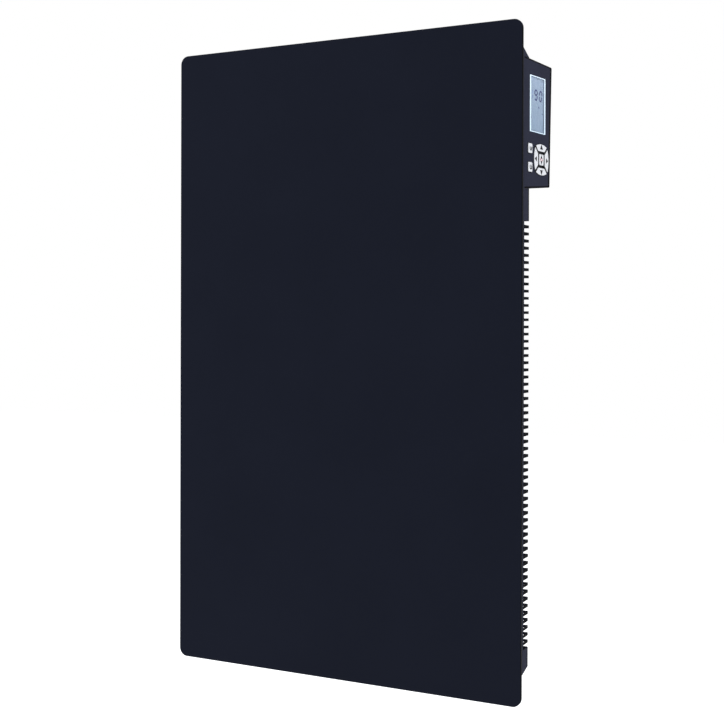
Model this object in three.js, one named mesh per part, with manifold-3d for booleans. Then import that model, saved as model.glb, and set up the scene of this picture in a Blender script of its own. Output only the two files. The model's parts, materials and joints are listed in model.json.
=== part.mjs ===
// Wall-hung infrared panel heater. A dark glass heating panel is bonded to a
// shallow steel casing with slotted sides. A control box with a display and
// keys stands on its right side. The whole hangs on a bracket with two latches.
//
// Millimetres. +X is right as seen from the front, +Y is towards the wall and
// +Z is up. The origin lies on the wall, at the centre of the bracket's
// crossbar, level with the middle of the glass.

import * as THREE from 'three';
import { mergeVertices } from 'three/addons/utils/BufferGeometryUtils.js';
import Module from 'manifold-3d';

const wasm = await Module();
wasm.setup();

// ---- Driving dimensions ----------------------------------------------------

// Clearances
const seat = 0.3; // between pieces that rest on each other
const film = 0.15; // in a bonded or laminated joint
const running = 0.2; // radial, round a turning pin
const over = 2; // how far a cutting tool runs past what it cuts

// Glass panel
const panelWidth = 500;
const panelHeight = 830;
const panelThickness = 4;
const panelCornerRadius = 11.5;
const panelEdgeBevel = 0.5;
const sealThickness = 0.5;

// Casing
const wallGap = 58.2; // wall to the casing's rear face
const casingDepth = 22;
const casingSheet = 0.8;
const casingFlange = 8; // front lip that the seal lies on
const casingSideInset = 0.3; // casing's front edge in from the panel's side
const casingSideDraft = 0.5; // degrees, the sides lean inwards to the rear
const casingTopInset = 33.6; // casing's front edge down from the panel's top
const casingTopFall = 9.7; // how far the top wall falls over the depth
const casingBottomInset = 37.5;
const casingBottomRise = 6.8;
const casingBend = 1.6; // outer radius of the rear corners
const casingCornerRadius = 1; // seen from behind

// Convection slots, wrapped round both rear corners
const slotHeight = 5.4;
const slotPitch = 8.71;
const slotFrontLand = 3; // solid strip between the front lip and the slots
const slotWrap = 12; // how far the slots run onto the rear face
const slotBottomMargin = 23.95; // lowest slot above the casing's rear bottom edge
const slotTopMargin = 38.4; // highest slot below the control box

// Heating stack
const stackSideMargin = 15; // in from the panel's sides
const stackEndMargin = 12; // in from the casing's top and bottom
const micaThickness = 0.5;
const elementThickness = 0.4;
const elementTrack = 20;
const elementTrackGap = 4;
const elementEdge = 15; // mica left bare round the element
const insulationThickness = 4;
const reflectorThickness = 0.6;

// Retaining rails
const railSheet = 0.8;
const railCrown = 20;
const railFlange = 10;
const railEndMargin = 10; // in from the stack's sides
const railInset = 68; // outer rails in from the stack's top and bottom

// Small hardware
const screwShank = 3.6;
const screwHeadWidth = 7;
const screwHeadHeight = 2.2;
const screwHeadEdge = 1.2; // upright edge of the head
const screwHeadCrown = 4.9; // across the flat on the head
const screwHoleClearance = 0.3;
const railScrewLength = 4;
const railScrewInset = 55; // in from the stack's sides
const studDiameter = 5;
const studHeight = 4.8; // above the reflector
const studInset = 115; // in from the stack's side
const studPitch = 24;
const cutoutDiameter = 16;
const cutoutHeight = 6;
const cutoutInset = 70; // in from the stack's side
const cutoutDrop = 12; // below the grommet
const wireDiameter = 2.2;
const wireSpacing = 2.6;
const wireBend = 3;
const wireLead = 12; // straight stretch past a bend
const wireSag = 3;

// Control box
const faceAngle = 8; // degrees, the face leans outwards to the rear
const faceFront = 5; // along the face, from the panel's back edge
const faceRearTop = 76.4;
const faceRearBottom = 71.2;
const boxTopInset = 44.4; // below the panel's top edge, at the face's front
const boxFootMargin = 19.4; // below the ring of keys
const boxTopFall = 2.6; // over the face's length
const boxBottomRise = 6.5;
const boxDepthInwards = 36; // from the panel's side to the inner wall
const boxWall = 2;
const boxToStack = 2; // clearance of the part that dips into the casing
const boxRearCorner = 2;
const lugLength = 14;
const lugWidth = 16;
const lugThickness = 3;
const lugInset = 24; // from the box's top and bottom
const ventWidth = 2;
const ventLength = 12;
const ventPitch = 5;
const ventCount = 4;

// Face plate, display and keys
const fasciaThickness = 2.2;
const displayWidth = 41.4;
const displayHeight = 69.9;
const displayFront = 18.2; // along the face, from the panel's back edge
const displayTopInset = 19.2; // below the box's top
const displayCorner = 1;
const displayFit = 0.3;
const leastCorner = 0.2;
const lensThickness = 1;
const lensRecess = 0.1;
const frameBorder = 2.2;
const frameThickness = 1.3;
const padCentre = 47.5; // along the face, from the panel's back edge
const padDrop = 31.8; // below the display
const padRadius = 19.3; // from the ring's centre to the middle of a key's outer edge
const padArcRadius = 36; // of that edge, so the ring is a square with bulging sides
const padSplit = 2.4; // diagonal gap between the ring's keys
const padArcSteps = 7;
const padInnerAlong = 8.5; // inner edge of the front and rear keys
const padInnerUp = 10; // inner edge of the upper and lower keys
const okWidth = 12.2;
const okHeight = 14;
const smallKeyWidth = 11;
const smallKeyHeight = 12.3;
const smallKeyOffset = 29.1; // in front of the pad's centre
const smallKeyPitch = 22.9;
const keyCorner = 2;
const keyBevel = 0.4;
const keyFit = 0.4;
const keyProud = 0.8;
const keyTravel = 0.8;
const keyStopGap = 0.5;
const stemDiameter = 4;
const stemFit = 0.25;
const stemReach = 1.1; // past the guide plate
const guideThickness = 2;
const domeDiameter = 7;
const domeHeight = 0.6;
const domeGap = 0.2; // left when a key is fully pressed
const matThickness = 1;
const boardThickness = 1.6;
const boardMargin = 0.6;
const bossDiameter = 5;
const bossInset = 3.4;

// Power board and what stands on it
const postDiameter = 5;
const postHeight = 3;
const postInset = 4;
const powerBoardBottomInset = 34; // above the box's floor, clear of the inlet
const powerBoardTopInset = 12;
const powerBoardEndInset = 5;
const powerBoardMargin = 2; // below the lowest part
const terminalWidth = 10;
const terminalHeight = 16;
const terminalDepth = 12;
const terminalPoles = 2;
const relaySize = [15.5, 19, 15.5];
const transformerSize = [17, 22, 24];
const heatSinkSize = [15, 26, 24];
const heatSinkFins = 5;
const heatSinkBase = 3;
const heatSinkFinThickness = 1.6;
const partGap = 7;
const ribbonThickness = 0.6;
const ribbonWidth = 14;
const ribbonInset = 1.2; // from the power board's rear edge
const ribbonStep = 1.8;
const sensorSize = [6, 8, 4];

// Cord inlet and grommet
const inletBore = 8;
const inletNeck = 12;
const inletFlange = 18;
const inletLength = 16;
const inletSpigot = 2; // past the box's wall, on its inside
const inletFlangeThickness = 4;
const inletFlangeBevel = 1.5;
const inletHeight = 20; // above the box's floor
const inletFromRear = 21;
const grommetBore = 6.4;
const grommetNeck = 9;
const grommetFlange = 12;
const grommetFlangeThickness = 1;

// Wall bracket
const bracketSheet = 2;
const uprightInset = 110; // its outer side in from the panel's side
const uprightFlange = 30;
const uprightPastHook = 50; // above the upper hook and below the lower one
const crossbarHeight = 50;
const crossbarLap = 24;
const hookDrop = 29; // upper hook below the lower stud
const hookNeck = 10;
const hookLip = 8;
const hookLipThickness = 3;
const hookReach = 6.3; // in front of the upright
const hookPlay = 2;
const wallSlotWidth = 7;
const wallSlotLength = 16;
const wallSlotInset = 35;
const slotEndFlat = 0.1; // left between the round corners of a slot's end

// Latches
const latchHub = 16;
const latchBlade = 10;
const latchReach = 30;
const latchThickness = 3;
const latchTab = 9;
const latchDrop = 14; // pivot below the upright's top
const pinDiameter = 5;
const latchBore = pinDiameter + 2 * running;
const pinHead = 9;
const pinHeadHeight = 1.5;
const pinHeadCrown = 6.3; // across the flat on the head
const catchWidth = 10;
const catchSheet = 1.5;
const catchDepth = 8;
const catchFoot = 14;
const catchGap = 0.5;

// ---- Planes and places worked out from them --------------------------------

const degree = Math.PI / 180;

// Depths, from the wall forwards
const casingRear = -wallGap;
const casingFront = casingRear - casingDepth;
const casingInside = casingRear - casingSheet;
const panelBack = casingFront - 2 * film - sealThickness;

// Heating stack, from the glass backwards
const micaFrontFace = panelBack + seat;
const elementFace = micaFrontFace + micaThickness + seat;
const micaRearFace = elementFace + elementThickness + seat;
const insulationFace = micaRearFace + micaThickness + seat;
const reflectorFace = insulationFace + insulationThickness + seat;
const reflectorBack = reflectorFace + reflectorThickness;
const railFace = reflectorBack + seat;
const railBack = casingInside - seat;

const panelHalf = panelWidth / 2;
const panelTop = panelHeight / 2;
const casingHalf = panelHalf - casingSideInset;
const casingTop = panelTop - casingTopInset;
const casingBottom = -panelTop + casingBottomInset;
const stackHalf = panelHalf - stackSideMargin;
const stackTop = casingTop - casingTopFall - stackEndMargin;
const stackBottom = casingBottom + casingBottomRise + stackEndMargin;
const railScrewX = stackHalf - railScrewInset;
const railHeights = {
  top: stackTop - railInset,
  middle: (stackTop + stackBottom) / 2,
  bottom: stackBottom + railInset,
};

// The control face is a plane that starts flush with the casing's side. Places on
// it are (along, height, out): along the face to the rear, from where the plane
// meets the panel's back, up, and out of it.
const faceSin = Math.sin(faceAngle * degree);
const faceCos = Math.cos(faceAngle * degree);
const faceStartX = casingHalf - faceFront * faceSin;
const boxHeight = displayTopInset + displayHeight + padDrop + padRadius + boxFootMargin;
const boxTop = panelTop - boxTopInset;
const boxBottom = boxTop - boxHeight;
const boxFrontY = panelBack + faceFront * faceCos;
const boxRearTopY = panelBack + faceRearTop * faceCos;
const boxRearBottomY = panelBack + faceRearBottom * faceCos;
const boxTopRear = boxTop - boxTopFall;
const boxBottomRear = boxBottom + boxBottomRise;
const boxInnerX = panelHalf - boxDepthInwards;
const boxStepY = casingRear + seat;
const tongueX = stackHalf + boxToStack;
const rimOut = -fasciaThickness - seat;
const boxRise = boxBottomRise / (boxRearBottomY - boxFrontY);
const boxFall = boxTopFall / (boxRearTopY - boxFrontY);
const boxLean = (boxRearTopY - boxRearBottomY) / (boxTopRear - boxBottomRear);

// Layers behind the control face
const guideFront = -fasciaThickness - seat;
const guideBack = guideFront - guideThickness;
const capBack = guideFront + keyTravel + keyStopGap;
const stemEnd = guideBack - stemReach;
const domeTop = stemEnd - keyTravel - domeGap;
const matFront = domeTop - domeHeight;
const matBack = matFront - matThickness;
const boardFront = matBack - seat;
const boardBack = boardFront - boardThickness;
const lensBack = -lensRecess - lensThickness;
const frameFront = lensBack - seat;
const frameBack = frameFront - frameThickness;

// How far along the face a layer may reach at a height and keep clear of the
// box's rear wall, which stands square to the wall behind it and not to the face.
function rearEdge(height, out) {
  const edge = faceRearBottom + (boxLean / faceCos) * (height - boxBottomRear);
  return edge - boxWall - boardMargin + out * Math.tan(faceAngle * degree);
}

// Places on the control face
const displayTop = boxTop - displayTopInset;
const displayBottom = displayTop - displayHeight;
const displayRear = displayFront + displayWidth;
const padHeight = displayBottom - padDrop;
const smallKeyAlong = padCentre - smallKeyOffset;
const boardFrontEdge = faceFront + boxWall + boardMargin;
const boardRearEdge = rearEdge(boxBottomRear, boardBack);
const boardBottomEdge = boxBottomRear + boxWall + boardMargin;
const boardTopEdge = boxTopRear - boxWall - boardMargin;

// Power board
const powerBoardX = boxInnerX + boxWall + postHeight + seat;
const partsX = powerBoardX + boardThickness + seat;
const powerBoardFrontY = boxStepY + boxWall + powerBoardEndInset;
const powerBoardRearY = boxRearBottomY - boxWall - powerBoardEndInset / 2;
const powerBoardBottom = boxBottom + powerBoardBottomInset;
const powerBoardTop = boxTopRear - powerBoardTopInset;
const terminalBottom = powerBoardBottom + powerBoardMargin;
const relayBottom = terminalBottom + terminalHeight + partGap;
const transformerBottom = relayBottom + relaySize[2] + partGap;
const heatSinkBottom = transformerBottom + transformerSize[2] + partGap;

// Wiring
const grommetX = (boxInnerX + tongueX) / 2 + boxWall / 2;
const grommetZ = terminalBottom + terminalHeight / 2;
const inletZ = boxBottom + inletHeight;
const inletY = boxRearBottomY - inletFromRear;
const wiringY = (reflectorBack + casingInside) / 2;
const cutoutX = stackHalf - cutoutInset;
const cutoutZ = grommetZ - cutoutDrop;
const studX = stackHalf - studInset;
const studHeights = { live: cutoutZ, neutral: cutoutZ - studPitch };

// Bracket
const flangeFront = casingRear + seat;
const flangeRear = flangeFront + bracketSheet;
const uprightOuter = panelHalf - uprightInset;
const uprightInner = uprightOuter - uprightFlange;
const hookSpread = studHeights.neutral - hookDrop; // hooks above and below the crossbar
const uprightTop = hookSpread + uprightPastHook;
const latchX = (uprightInner + uprightOuter) / 2 - bracketSheet / 2;
const latchZ = uprightTop - latchDrop;
const latchFront = flangeRear + seat;
const latchRear = latchFront + latchThickness;

// ---- Shapes and solids -----------------------------------------------------

const axisX = new THREE.Vector3(1, 0, 0);
const axisY = new THREE.Vector3(0, 1, 0);
const axisZ = new THREE.Vector3(0, 0, 1);

function toSolid(geometry) {
  const bare = geometry.clone();
  bare.deleteAttribute('normal');
  bare.deleteAttribute('uv');
  const merged = mergeVertices(bare, 1e-4);
  const vertProperties = merged.attributes.position.array;
  const triVerts = merged.index.array;
  return new wasm.Manifold(new wasm.Mesh({ numProp: 3, vertProperties, triVerts }));
}

function toGeometry(solid) {
  const mesh = solid.getMesh();
  const geometry = new THREE.BufferGeometry();
  geometry.setAttribute('position', new THREE.BufferAttribute(mesh.vertProperties, 3));
  geometry.setIndex(new THREE.BufferAttribute(mesh.triVerts, 1));
  geometry.computeVertexNormals();
  return geometry;
}

function cut(body, ...tools) {
  return toGeometry(tools.reduce((solid, tool) => solid.subtract(toSolid(tool)), toSolid(body)));
}

function join(body, ...others) {
  return toGeometry(others.reduce((solid, other) => solid.add(toSolid(other)), toSolid(body)));
}

function common(body, other) {
  return toGeometry(toSolid(body).intersect(toSolid(other)));
}

function polygon(points) {
  return new THREE.Shape(points.map(([x, y]) => new THREE.Vector2(x, y)));
}

// Points of an arc, from one angle to another.
function arcPoints(x, y, radius, from, to, steps) {
  return Array.from({ length: steps + 1 }, (_, step) => {
    const angle = from + ((to - from) * step) / steps;
    return [x + radius * Math.cos(angle), y + radius * Math.sin(angle)];
  });
}

// A rectangle between two corners, with round corners where a radius is given.
function rectangle(x0, y0, x1, y1, radius = 0, steps = 2) {
  if (radius === 0) {
    return polygon([[x0, y0], [x1, y0], [x1, y1], [x0, y1]]);
  }
  const quarter = Math.PI / 2;
  return polygon([
    ...arcPoints(x1 - radius, y0 + radius, radius, -quarter, 0, steps),
    ...arcPoints(x1 - radius, y1 - radius, radius, 0, quarter, steps),
    ...arcPoints(x0 + radius, y1 - radius, radius, quarter, 2 * quarter, steps),
    ...arcPoints(x0 + radius, y0 + radius, radius, 2 * quarter, 3 * quarter, steps),
  ]);
}

function disc(x, y, radius, sides = 12) {
  return polygon(arcPoints(x, y, radius, 0, Math.PI * 2, sides).slice(1));
}

function withHoles(shape, holes) {
  shape.holes.push(...holes);
  return shape;
}

// A shape drawn in (x, y) and extruded along z, from one height to another.
function prismZ(shape, from, to) {
  const geometry = new THREE.ExtrudeGeometry(shape, { depth: to - from, bevelEnabled: false });
  return geometry.translate(0, 0, from);
}

// The same with both its edges broken by a small bevel.
function bevelled(shape, from, to, bevel) {
  const geometry = new THREE.ExtrudeGeometry(shape, {
    depth: to - from - 2 * bevel,
    bevelThickness: bevel,
    bevelSize: bevel,
    bevelOffset: -bevel,
    bevelSegments: 1,
  });
  return geometry.translate(0, 0, from + bevel);
}

// A shape drawn in (x, z) and extruded along y.
function prismY(shape, from, to) {
  const geometry = prismZ(shape, 0, to - from);
  return geometry.rotateX(Math.PI / 2).translate(0, to, 0);
}

// A shape drawn in (y, z) and extruded along x.
function prismX(shape, from, to) {
  const geometry = prismZ(shape, from, to);
  return geometry.applyMatrix4(new THREE.Matrix4().makeBasis(axisY, axisZ, axisX));
}

function box(x0, y0, z0, x1, y1, z1) {
  const geometry = new THREE.BoxGeometry(x1 - x0, y1 - y0, z1 - z0);
  return geometry.translate((x0 + x1) / 2, (y0 + y1) / 2, (z0 + z1) / 2);
}

// A box between two distances from the heater's middle, on its left or right.
function sidedBox(side, x0, x1, y0, y1, z0, z1) {
  return box(Math.min(side * x0, side * x1), y0, z0, Math.max(side * x0, side * x1), y1, z1);
}

function cylinderY(x, z, diameter, y0, y1, sides = 16) {
  const geometry = new THREE.CylinderGeometry(diameter / 2, diameter / 2, y1 - y0, sides);
  return geometry.translate(x, (y0 + y1) / 2, z);
}

function cylinderX(y, z, diameter, x0, x1, sides = 16) {
  const geometry = new THREE.CylinderGeometry(diameter / 2, diameter / 2, x1 - x0, sides);
  return geometry.rotateZ(-Math.PI / 2).translate((x0 + x1) / 2, y, z);
}

// A turned piece whose profile is drawn as (radius, y).
function turned(profile, sides = 12) {
  return new THREE.LatheGeometry(profile.map(([x, y]) => new THREE.Vector2(x, y)), sides);
}

// A wire through hand-placed points.
function wire(points, steps) {
  const places = points.map(([x, y, z]) => new THREE.Vector3(x, y, z));
  const path = new THREE.CatmullRomCurve3(places, false, 'centripetal');
  const section = disc(0, 0, wireDiameter / 2, 8);
  return new THREE.ExtrudeGeometry(section, { steps, bevelEnabled: false, extrudePath: path });
}

// Closed body through rings of points that run the same way round, front first.
function loft(rings) {
  const count = rings[0].length;
  const positions = rings.flat(2);
  const triangles = [];
  for (let ring = 0; ring + 1 < rings.length; ring += 1) {
    for (let i = 0; i < count; i += 1) {
      const near = ring * count + i;
      const nearNext = ring * count + (i + 1) % count;
      triangles.push(near, near + count, nearNext + count);
      triangles.push(near, nearNext + count, nearNext);
    }
  }
  const last = (rings.length - 1) * count;
  for (let i = 1; i + 1 < count; i += 1) {
    triangles.push(0, i, i + 1);
    triangles.push(last, last + i + 1, last + i);
  }
  const geometry = new THREE.BufferGeometry();
  geometry.setAttribute('position', new THREE.Float32BufferAttribute(positions, 3));
  geometry.setIndex(triangles);
  return geometry;
}

// ---- Front panel and heating stack -----------------------------------------

function frontPanel() {
  const outline = rectangle(-panelHalf, -panelTop, panelHalf, panelTop, panelCornerRadius, 6);
  const plate = bevelled(outline, 0, panelThickness, panelEdgeBevel);
  return plate.rotateX(Math.PI / 2).translate(0, panelBack, 0);
}

function edgeSeal() {
  const half = casingHalf - casingSheet;
  const bottom = casingBottom + casingSheet;
  const top = casingTop - casingSheet;
  const width = casingFlange - 2 * casingSheet;
  const ring = rectangle(-half, bottom, half, top);
  ring.holes.push(rectangle(-half + width, bottom + width, half - width, top - width));
  return prismY(ring, panelBack + film, panelBack + film + sealThickness);
}

function stackSheet(front, thickness, holes = []) {
  const outline = rectangle(-stackHalf, stackBottom, stackHalf, stackTop);
  return prismY(withHoles(outline, holes), front, front + thickness);
}

function studHoles() {
  return Object.values(studHeights).map((z) => disc(studX, z, studDiameter / 2 + seat));
}

// One foil track that runs up and down across the whole sheet: a plate with
// slits that start in turn from its lower and its upper edge.
function heatingElement() {
  const left = -stackHalf + elementEdge;
  const right = stackHalf - elementEdge;
  const bottom = stackBottom + elementEdge;
  const top = stackTop - elementEdge;
  const runs = Math.floor((right - left + elementTrackGap) / (elementTrack + elementTrackGap));
  const pitch = (right - left + elementTrackGap) / runs;
  const slits = Array.from({ length: runs - 1 }, (_, i) => ({
    fromBelow: i % 2 === 0,
    x1: left + (i + 1) * pitch,
    x0: left + (i + 1) * pitch - elementTrackGap,
  }));
  const outline = [[left, bottom]];
  for (const { x0, x1 } of slits.filter((slit) => slit.fromBelow)) {
    outline.push([x0, bottom], [x0, top - elementTrack], [x1, top - elementTrack], [x1, bottom]);
  }
  outline.push([right, bottom], [right, top]);
  for (const { x0, x1 } of slits.filter((slit) => !slit.fromBelow).reverse()) {
    outline.push([x1, top], [x1, bottom + elementTrack], [x0, bottom + elementTrack], [x0, top]);
  }
  outline.push([left, top]);
  return prismY(polygon(outline), elementFace, elementFace + elementThickness);
}

function thermalCutout() {
  const front = reflectorBack + seat;
  return cylinderY(cutoutX, cutoutZ, cutoutDiameter, front, front + cutoutHeight);
}

// A stud that carries the foil's end out through the insulation.
function elementStud(z) {
  const foot = elementFace + elementThickness + film;
  return cylinderY(studX, z, studDiameter, foot, reflectorBack + studHeight, 12);
}

// ---- Casing and rails ------------------------------------------------------

// One ring of the casing's body at depth y, shrunk by an offset.
function casingRing(y, offset, shrink) {
  const share = (y - casingFront) / casingDepth;
  const half = casingHalf - Math.tan(casingSideDraft * degree) * (y - casingFront) - offset - shrink;
  const top = casingTop - casingTopFall * share - offset - shrink;
  const bottom = casingBottom + casingBottomRise * share + offset + shrink;
  const outline = rectangle(-half, bottom, half, top, casingCornerRadius);
  return outline.getPoints().map((point) => [point.x, y, point.y]);
}

// The casing's body as a closed block, its rear edges bent round.
function casingBlock(front, rear, bend, offset) {
  const bendSteps = 2;
  const rings = [casingRing(front, offset, 0)];
  for (let step = 0; step <= bendSteps; step += 1) {
    const angle = (step / bendSteps) * (Math.PI / 2);
    rings.push(casingRing(rear - bend + bend * Math.sin(angle), offset, bend * (1 - Math.cos(angle))));
  }
  return loft(rings);
}

function slotHeights() {
  const first = casingBottom + casingBottomRise + slotBottomMargin + slotHeight / 2;
  const last = boxBottom - slotTopMargin - slotHeight / 2;
  const count = Math.round((last - first) / slotPitch) + 1;
  return Array.from({ length: count }, (_, i) => first + i * slotPitch);
}

function sideSlot(side, z) {
  const front = casingFront + casingSheet + slotFrontLand;
  const rear = casingRear + over;
  const z0 = z - slotHeight / 2;
  return sidedBox(side, casingHalf - slotWrap, casingHalf + over, front, rear, z0, z0 + slotHeight);
}

// The opening that the control box dips into, cut to the box's own outline.
function boxOpening() {
  const x0 = tongueX - seat;
  const x1 = panelHalf + over;
  return prismX(boxSide(seat, boxFrontY - seat, casingRear + over), x0, x1);
}

// The bracket's hooks pass in through these and then hold their upper edges.
function hookSlot(side, z) {
  const x0 = uprightOuter - bracketSheet - seat;
  const x1 = uprightOuter + seat;
  const top = z + hookNeck / 2 + seat;
  const bottom = top - hookNeck - hookLip - hookPlay;
  return sidedBox(side, x0, x1, casingInside - over, casingRear + over, bottom, top);
}

function screwHole(x, z, y0, y1) {
  return cylinderY(x, z, screwShank + 2 * screwHoleClearance, y0, y1, 12);
}

function rearCasing() {
  const outer = casingBlock(casingFront, casingRear, casingBend, 0);
  const insideBend = casingBend - casingSheet;
  const inside = casingBlock(casingFront + casingSheet, casingInside, insideBend, casingSheet);
  const half = casingHalf - casingFlange;
  const mouth = box(-half, casingFront - over, casingBottom + casingFlange,
    half, casingFront + 2 * casingSheet, casingTop - casingFlange);
  const tools = [inside, mouth, boxOpening()];
  for (const side of [-1, 1]) {
    tools.push(...slotHeights().map((z) => sideSlot(side, z)));
    tools.push(hookSlot(side, hookSpread), hookSlot(side, -hookSpread));
    for (const z of Object.values(railHeights)) {
      tools.push(screwHole(side * railScrewX, z, casingInside - over, casingRear + over));
    }
  }
  for (const z of lugHeights()) {
    tools.push(screwHole(lugScrewX(), z, casingInside - over, casingRear + over));
  }
  tools.push(cylinderY(grommetX, grommetZ, grommetNeck + 2 * seat, casingInside - over, casingRear + over));
  return cut(outer, ...tools);
}

// Rolled strip that presses the stack against the glass.
function retainingRail(z) {
  const crown = railCrown / 2;
  const foot = crown + railFlange;
  const profile = polygon([
    [railFace, z - foot], [railFace + railSheet, z - foot],
    [railFace + railSheet, z - crown], [railBack, z - crown],
    [railBack, z + crown], [railFace + railSheet, z + crown],
    [railFace + railSheet, z + foot], [railFace, z + foot],
    [railFace, z + crown - railSheet], [railBack - railSheet, z + crown - railSheet],
    [railBack - railSheet, z - crown + railSheet], [railFace, z - crown + railSheet],
  ]);
  const half = stackHalf - railEndMargin;
  const holes = [-1, 1].map((side) => screwHole(side * railScrewX, z, railFace - over, railBack + over));
  return cut(prismX(profile, -half, half), ...holes);
}

// A pan-head screw whose head lies on the face at y, its shank running to -y.
function screw(x, y, z, length) {
  const shank = screwShank / 2;
  const head = screwHeadWidth / 2;
  const profile = [
    [0, -length], [shank, -length], [shank, 0], [head, 0],
    [head, screwHeadEdge], [screwHeadCrown / 2, screwHeadHeight], [0, screwHeadHeight],
  ];
  return turned(profile, 12).translate(x, y, z);
}

// ---- Control box -----------------------------------------------------------

// X of the control face, or of a plane the given distance out of it.
function faceX(y, out) {
  return faceStartX + (out + faceSin * (y - panelBack)) / faceCos;
}

// The box seen from its side, as (y, z), grown by an offset.
function boxSide(offset, front, rear) {
  const lower = (y) => boxBottom + boxRise * (y - boxFrontY) - offset;
  const upper = (y) => boxTop - boxFall * (y - boxFrontY) + offset;
  return polygon([[front, lower(front)], [rear, lower(rear)], [rear, upper(rear)], [front, upper(front)]]);
}

// The box's side with its rear edge as steep as the real one.
function boxOutline(offset) {
  const front = boxFrontY - offset;
  const lowerRear = boxRearBottomY + (1 - boxLean) * offset;
  const upperRear = boxRearTopY + (1 + boxLean) * offset;
  return polygon([
    [front, boxBottom - (1 + boxRise) * offset], [lowerRear, boxBottomRear - (1 - boxRise) * offset],
    [upperRear, boxTopRear + (1 - boxFall) * offset], [front, boxTop + (1 + boxFall) * offset],
  ]);
}

// The box seen from above, as (x, y): a body behind the casing and a tongue
// that dips into it behind the front part of the face.
function boxPlan(offset, out) {
  const front = boxFrontY - offset;
  const step = boxStepY - offset;
  const rear = boxRearTopY + offset;
  return polygon([
    [faceX(front, out), front], [faceX(rear, out), rear],
    [boxInnerX - offset, rear], [boxInnerX - offset, step],
    [tongueX - offset, step], [tongueX - offset, front],
  ]);
}

function lugHeights() {
  return [boxBottom + lugInset, boxTop - lugInset];
}

function lugScrewX() {
  return boxInnerX - lugLength / 2;
}

function controlHousing() {
  const x0 = boxInnerX - over;
  const x1 = panelHalf + 2 * boxDepthInwards;
  const z0 = boxBottom - over;
  const z1 = boxTop + over;
  const outer = common(prismZ(boxPlan(0, rimOut), z0, z1), prismX(boxOutline(0), x0, x1));
  const hollow = common(prismZ(boxPlan(-boxWall, over), z0, z1), prismX(boxOutline(-boxWall), x0, x1));
  const lugs = lugHeights().map((z) => box(
    boxInnerX - lugLength, boxStepY, z - lugWidth / 2,
    boxInnerX + boxWall / 2, boxStepY + lugThickness, z + lugWidth / 2,
  ));
  const postX0 = boxInnerX + boxWall / 2;
  const posts = postPlaces().map(([y, z]) => cylinderX(y, z, postDiameter, postX0, powerBoardX - seat, 10));
  const vents = Array.from({ length: ventCount }, (_, i) => {
    const y = (boxStepY + boxRearBottomY) / 2 + (i - (ventCount - 1) / 2) * ventPitch;
    const x = (boxInnerX + panelHalf) / 2;
    return box(x - ventLength / 2, y - ventWidth / 2, z0,
      x + ventLength / 2, y + ventWidth / 2, boxBottomRear + boxWall + over);
  });
  const inlet = cylinderX(inletY, inletZ, inletNeck + 2 * seat, x0, boxInnerX + boxWall + over);
  const y0 = boxStepY - over;
  const grommet = cylinderY(grommetX, grommetZ, grommetNeck + 2 * seat, y0, boxStepY + boxWall + over);
  const lugHoles = lugHeights().map((z) => screwHole(lugScrewX(), z, y0, boxStepY + lugThickness + over));
  return cut(join(cut(outer, hollow), ...lugs, ...posts), ...vents, inlet, grommet, ...lugHoles);
}

// Places of the four posts that carry the power board, as (y, z).
function postPlaces() {
  const ys = [powerBoardFrontY + postInset, powerBoardRearY - postInset];
  const zs = [powerBoardBottom + postInset, powerBoardTop - postInset];
  return ys.flatMap((y) => zs.map((z) => [y, z]));
}

// A group whose own x runs along the control face, y up and z out of it.
function faceGroup() {
  const along = new THREE.Vector3(faceSin, faceCos, 0);
  const out = new THREE.Vector3(faceCos, -faceSin, 0);
  const group = new THREE.Group();
  group.quaternion.setFromRotationMatrix(new THREE.Matrix4().makeBasis(along, axisZ, out));
  group.position.set(faceStartX, panelBack, 0);
  return group;
}

function bossPlaces() {
  const xs = [boardFrontEdge + bossInset, boardRearEdge - bossInset];
  const ys = [boardBottomEdge + bossInset, boardTopEdge - bossInset];
  return xs.flatMap((x) => ys.map((y) => [x, y]));
}

// The face plate's outline with its two rear corners rounded.
function fasciaOutline() {
  const r = boxRearCorner;
  const shape = new THREE.Shape();
  shape.moveTo(faceFront, boxBottom);
  shape.lineTo(faceRearBottom - r, boxBottomRear);
  shape.quadraticCurveTo(faceRearBottom, boxBottomRear, faceRearBottom, boxBottomRear + r);
  shape.lineTo(faceRearTop, boxTopRear - r);
  shape.quadraticCurveTo(faceRearTop, boxTopRear, faceRearTop - r, boxTopRear);
  shape.lineTo(faceFront, boxTop);
  shape.closePath();
  return shape;
}

function smallKeyHeights() {
  return [padHeight + smallKeyPitch / 2, padHeight - smallKeyPitch / 2];
}

function smallKeyOutline(height, fit) {
  const w = smallKeyWidth / 2 + fit;
  const h = smallKeyHeight / 2 + fit;
  return rectangle(smallKeyAlong - w, height - h, smallKeyAlong + w, height + h, keyCorner + fit);
}

function displayOutline(inset) {
  const corner = Math.max(displayCorner - inset, leastCorner);
  const [x0, x1] = [displayFront + inset, displayRear - inset];
  return rectangle(x0, displayBottom + inset, x1, displayTop - inset, corner);
}

function fascia() {
  const outline = withHoles(fasciaOutline(), [
    displayOutline(0),
    padHoleOutline(),
    ...smallKeyHeights().map((height) => smallKeyOutline(height, keyFit)),
  ]);
  const bosses = bossPlaces().map(([x, y]) => (
    prismZ(disc(x, y, bossDiameter / 2, 8), boardFront + seat, -fasciaThickness / 2)
  ));
  return join(prismZ(outline, -fasciaThickness, 0), ...bosses);
}

// The outer edge of one key of the ring, as an arc between the lines that lie
// beside the ring's two diagonals. The key lies on the positive side of x.
function padArc(radius, besideDiagonal) {
  const centre = padRadius - padArcRadius;
  const x = (centre + besideDiagonal + Math.sqrt(2 * radius ** 2 - (centre - besideDiagonal) ** 2)) / 2;
  const spread = Math.atan2(x - besideDiagonal, x - centre);
  return arcPoints(centre, 0, radius, -spread, spread, padArcSteps);
}

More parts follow.
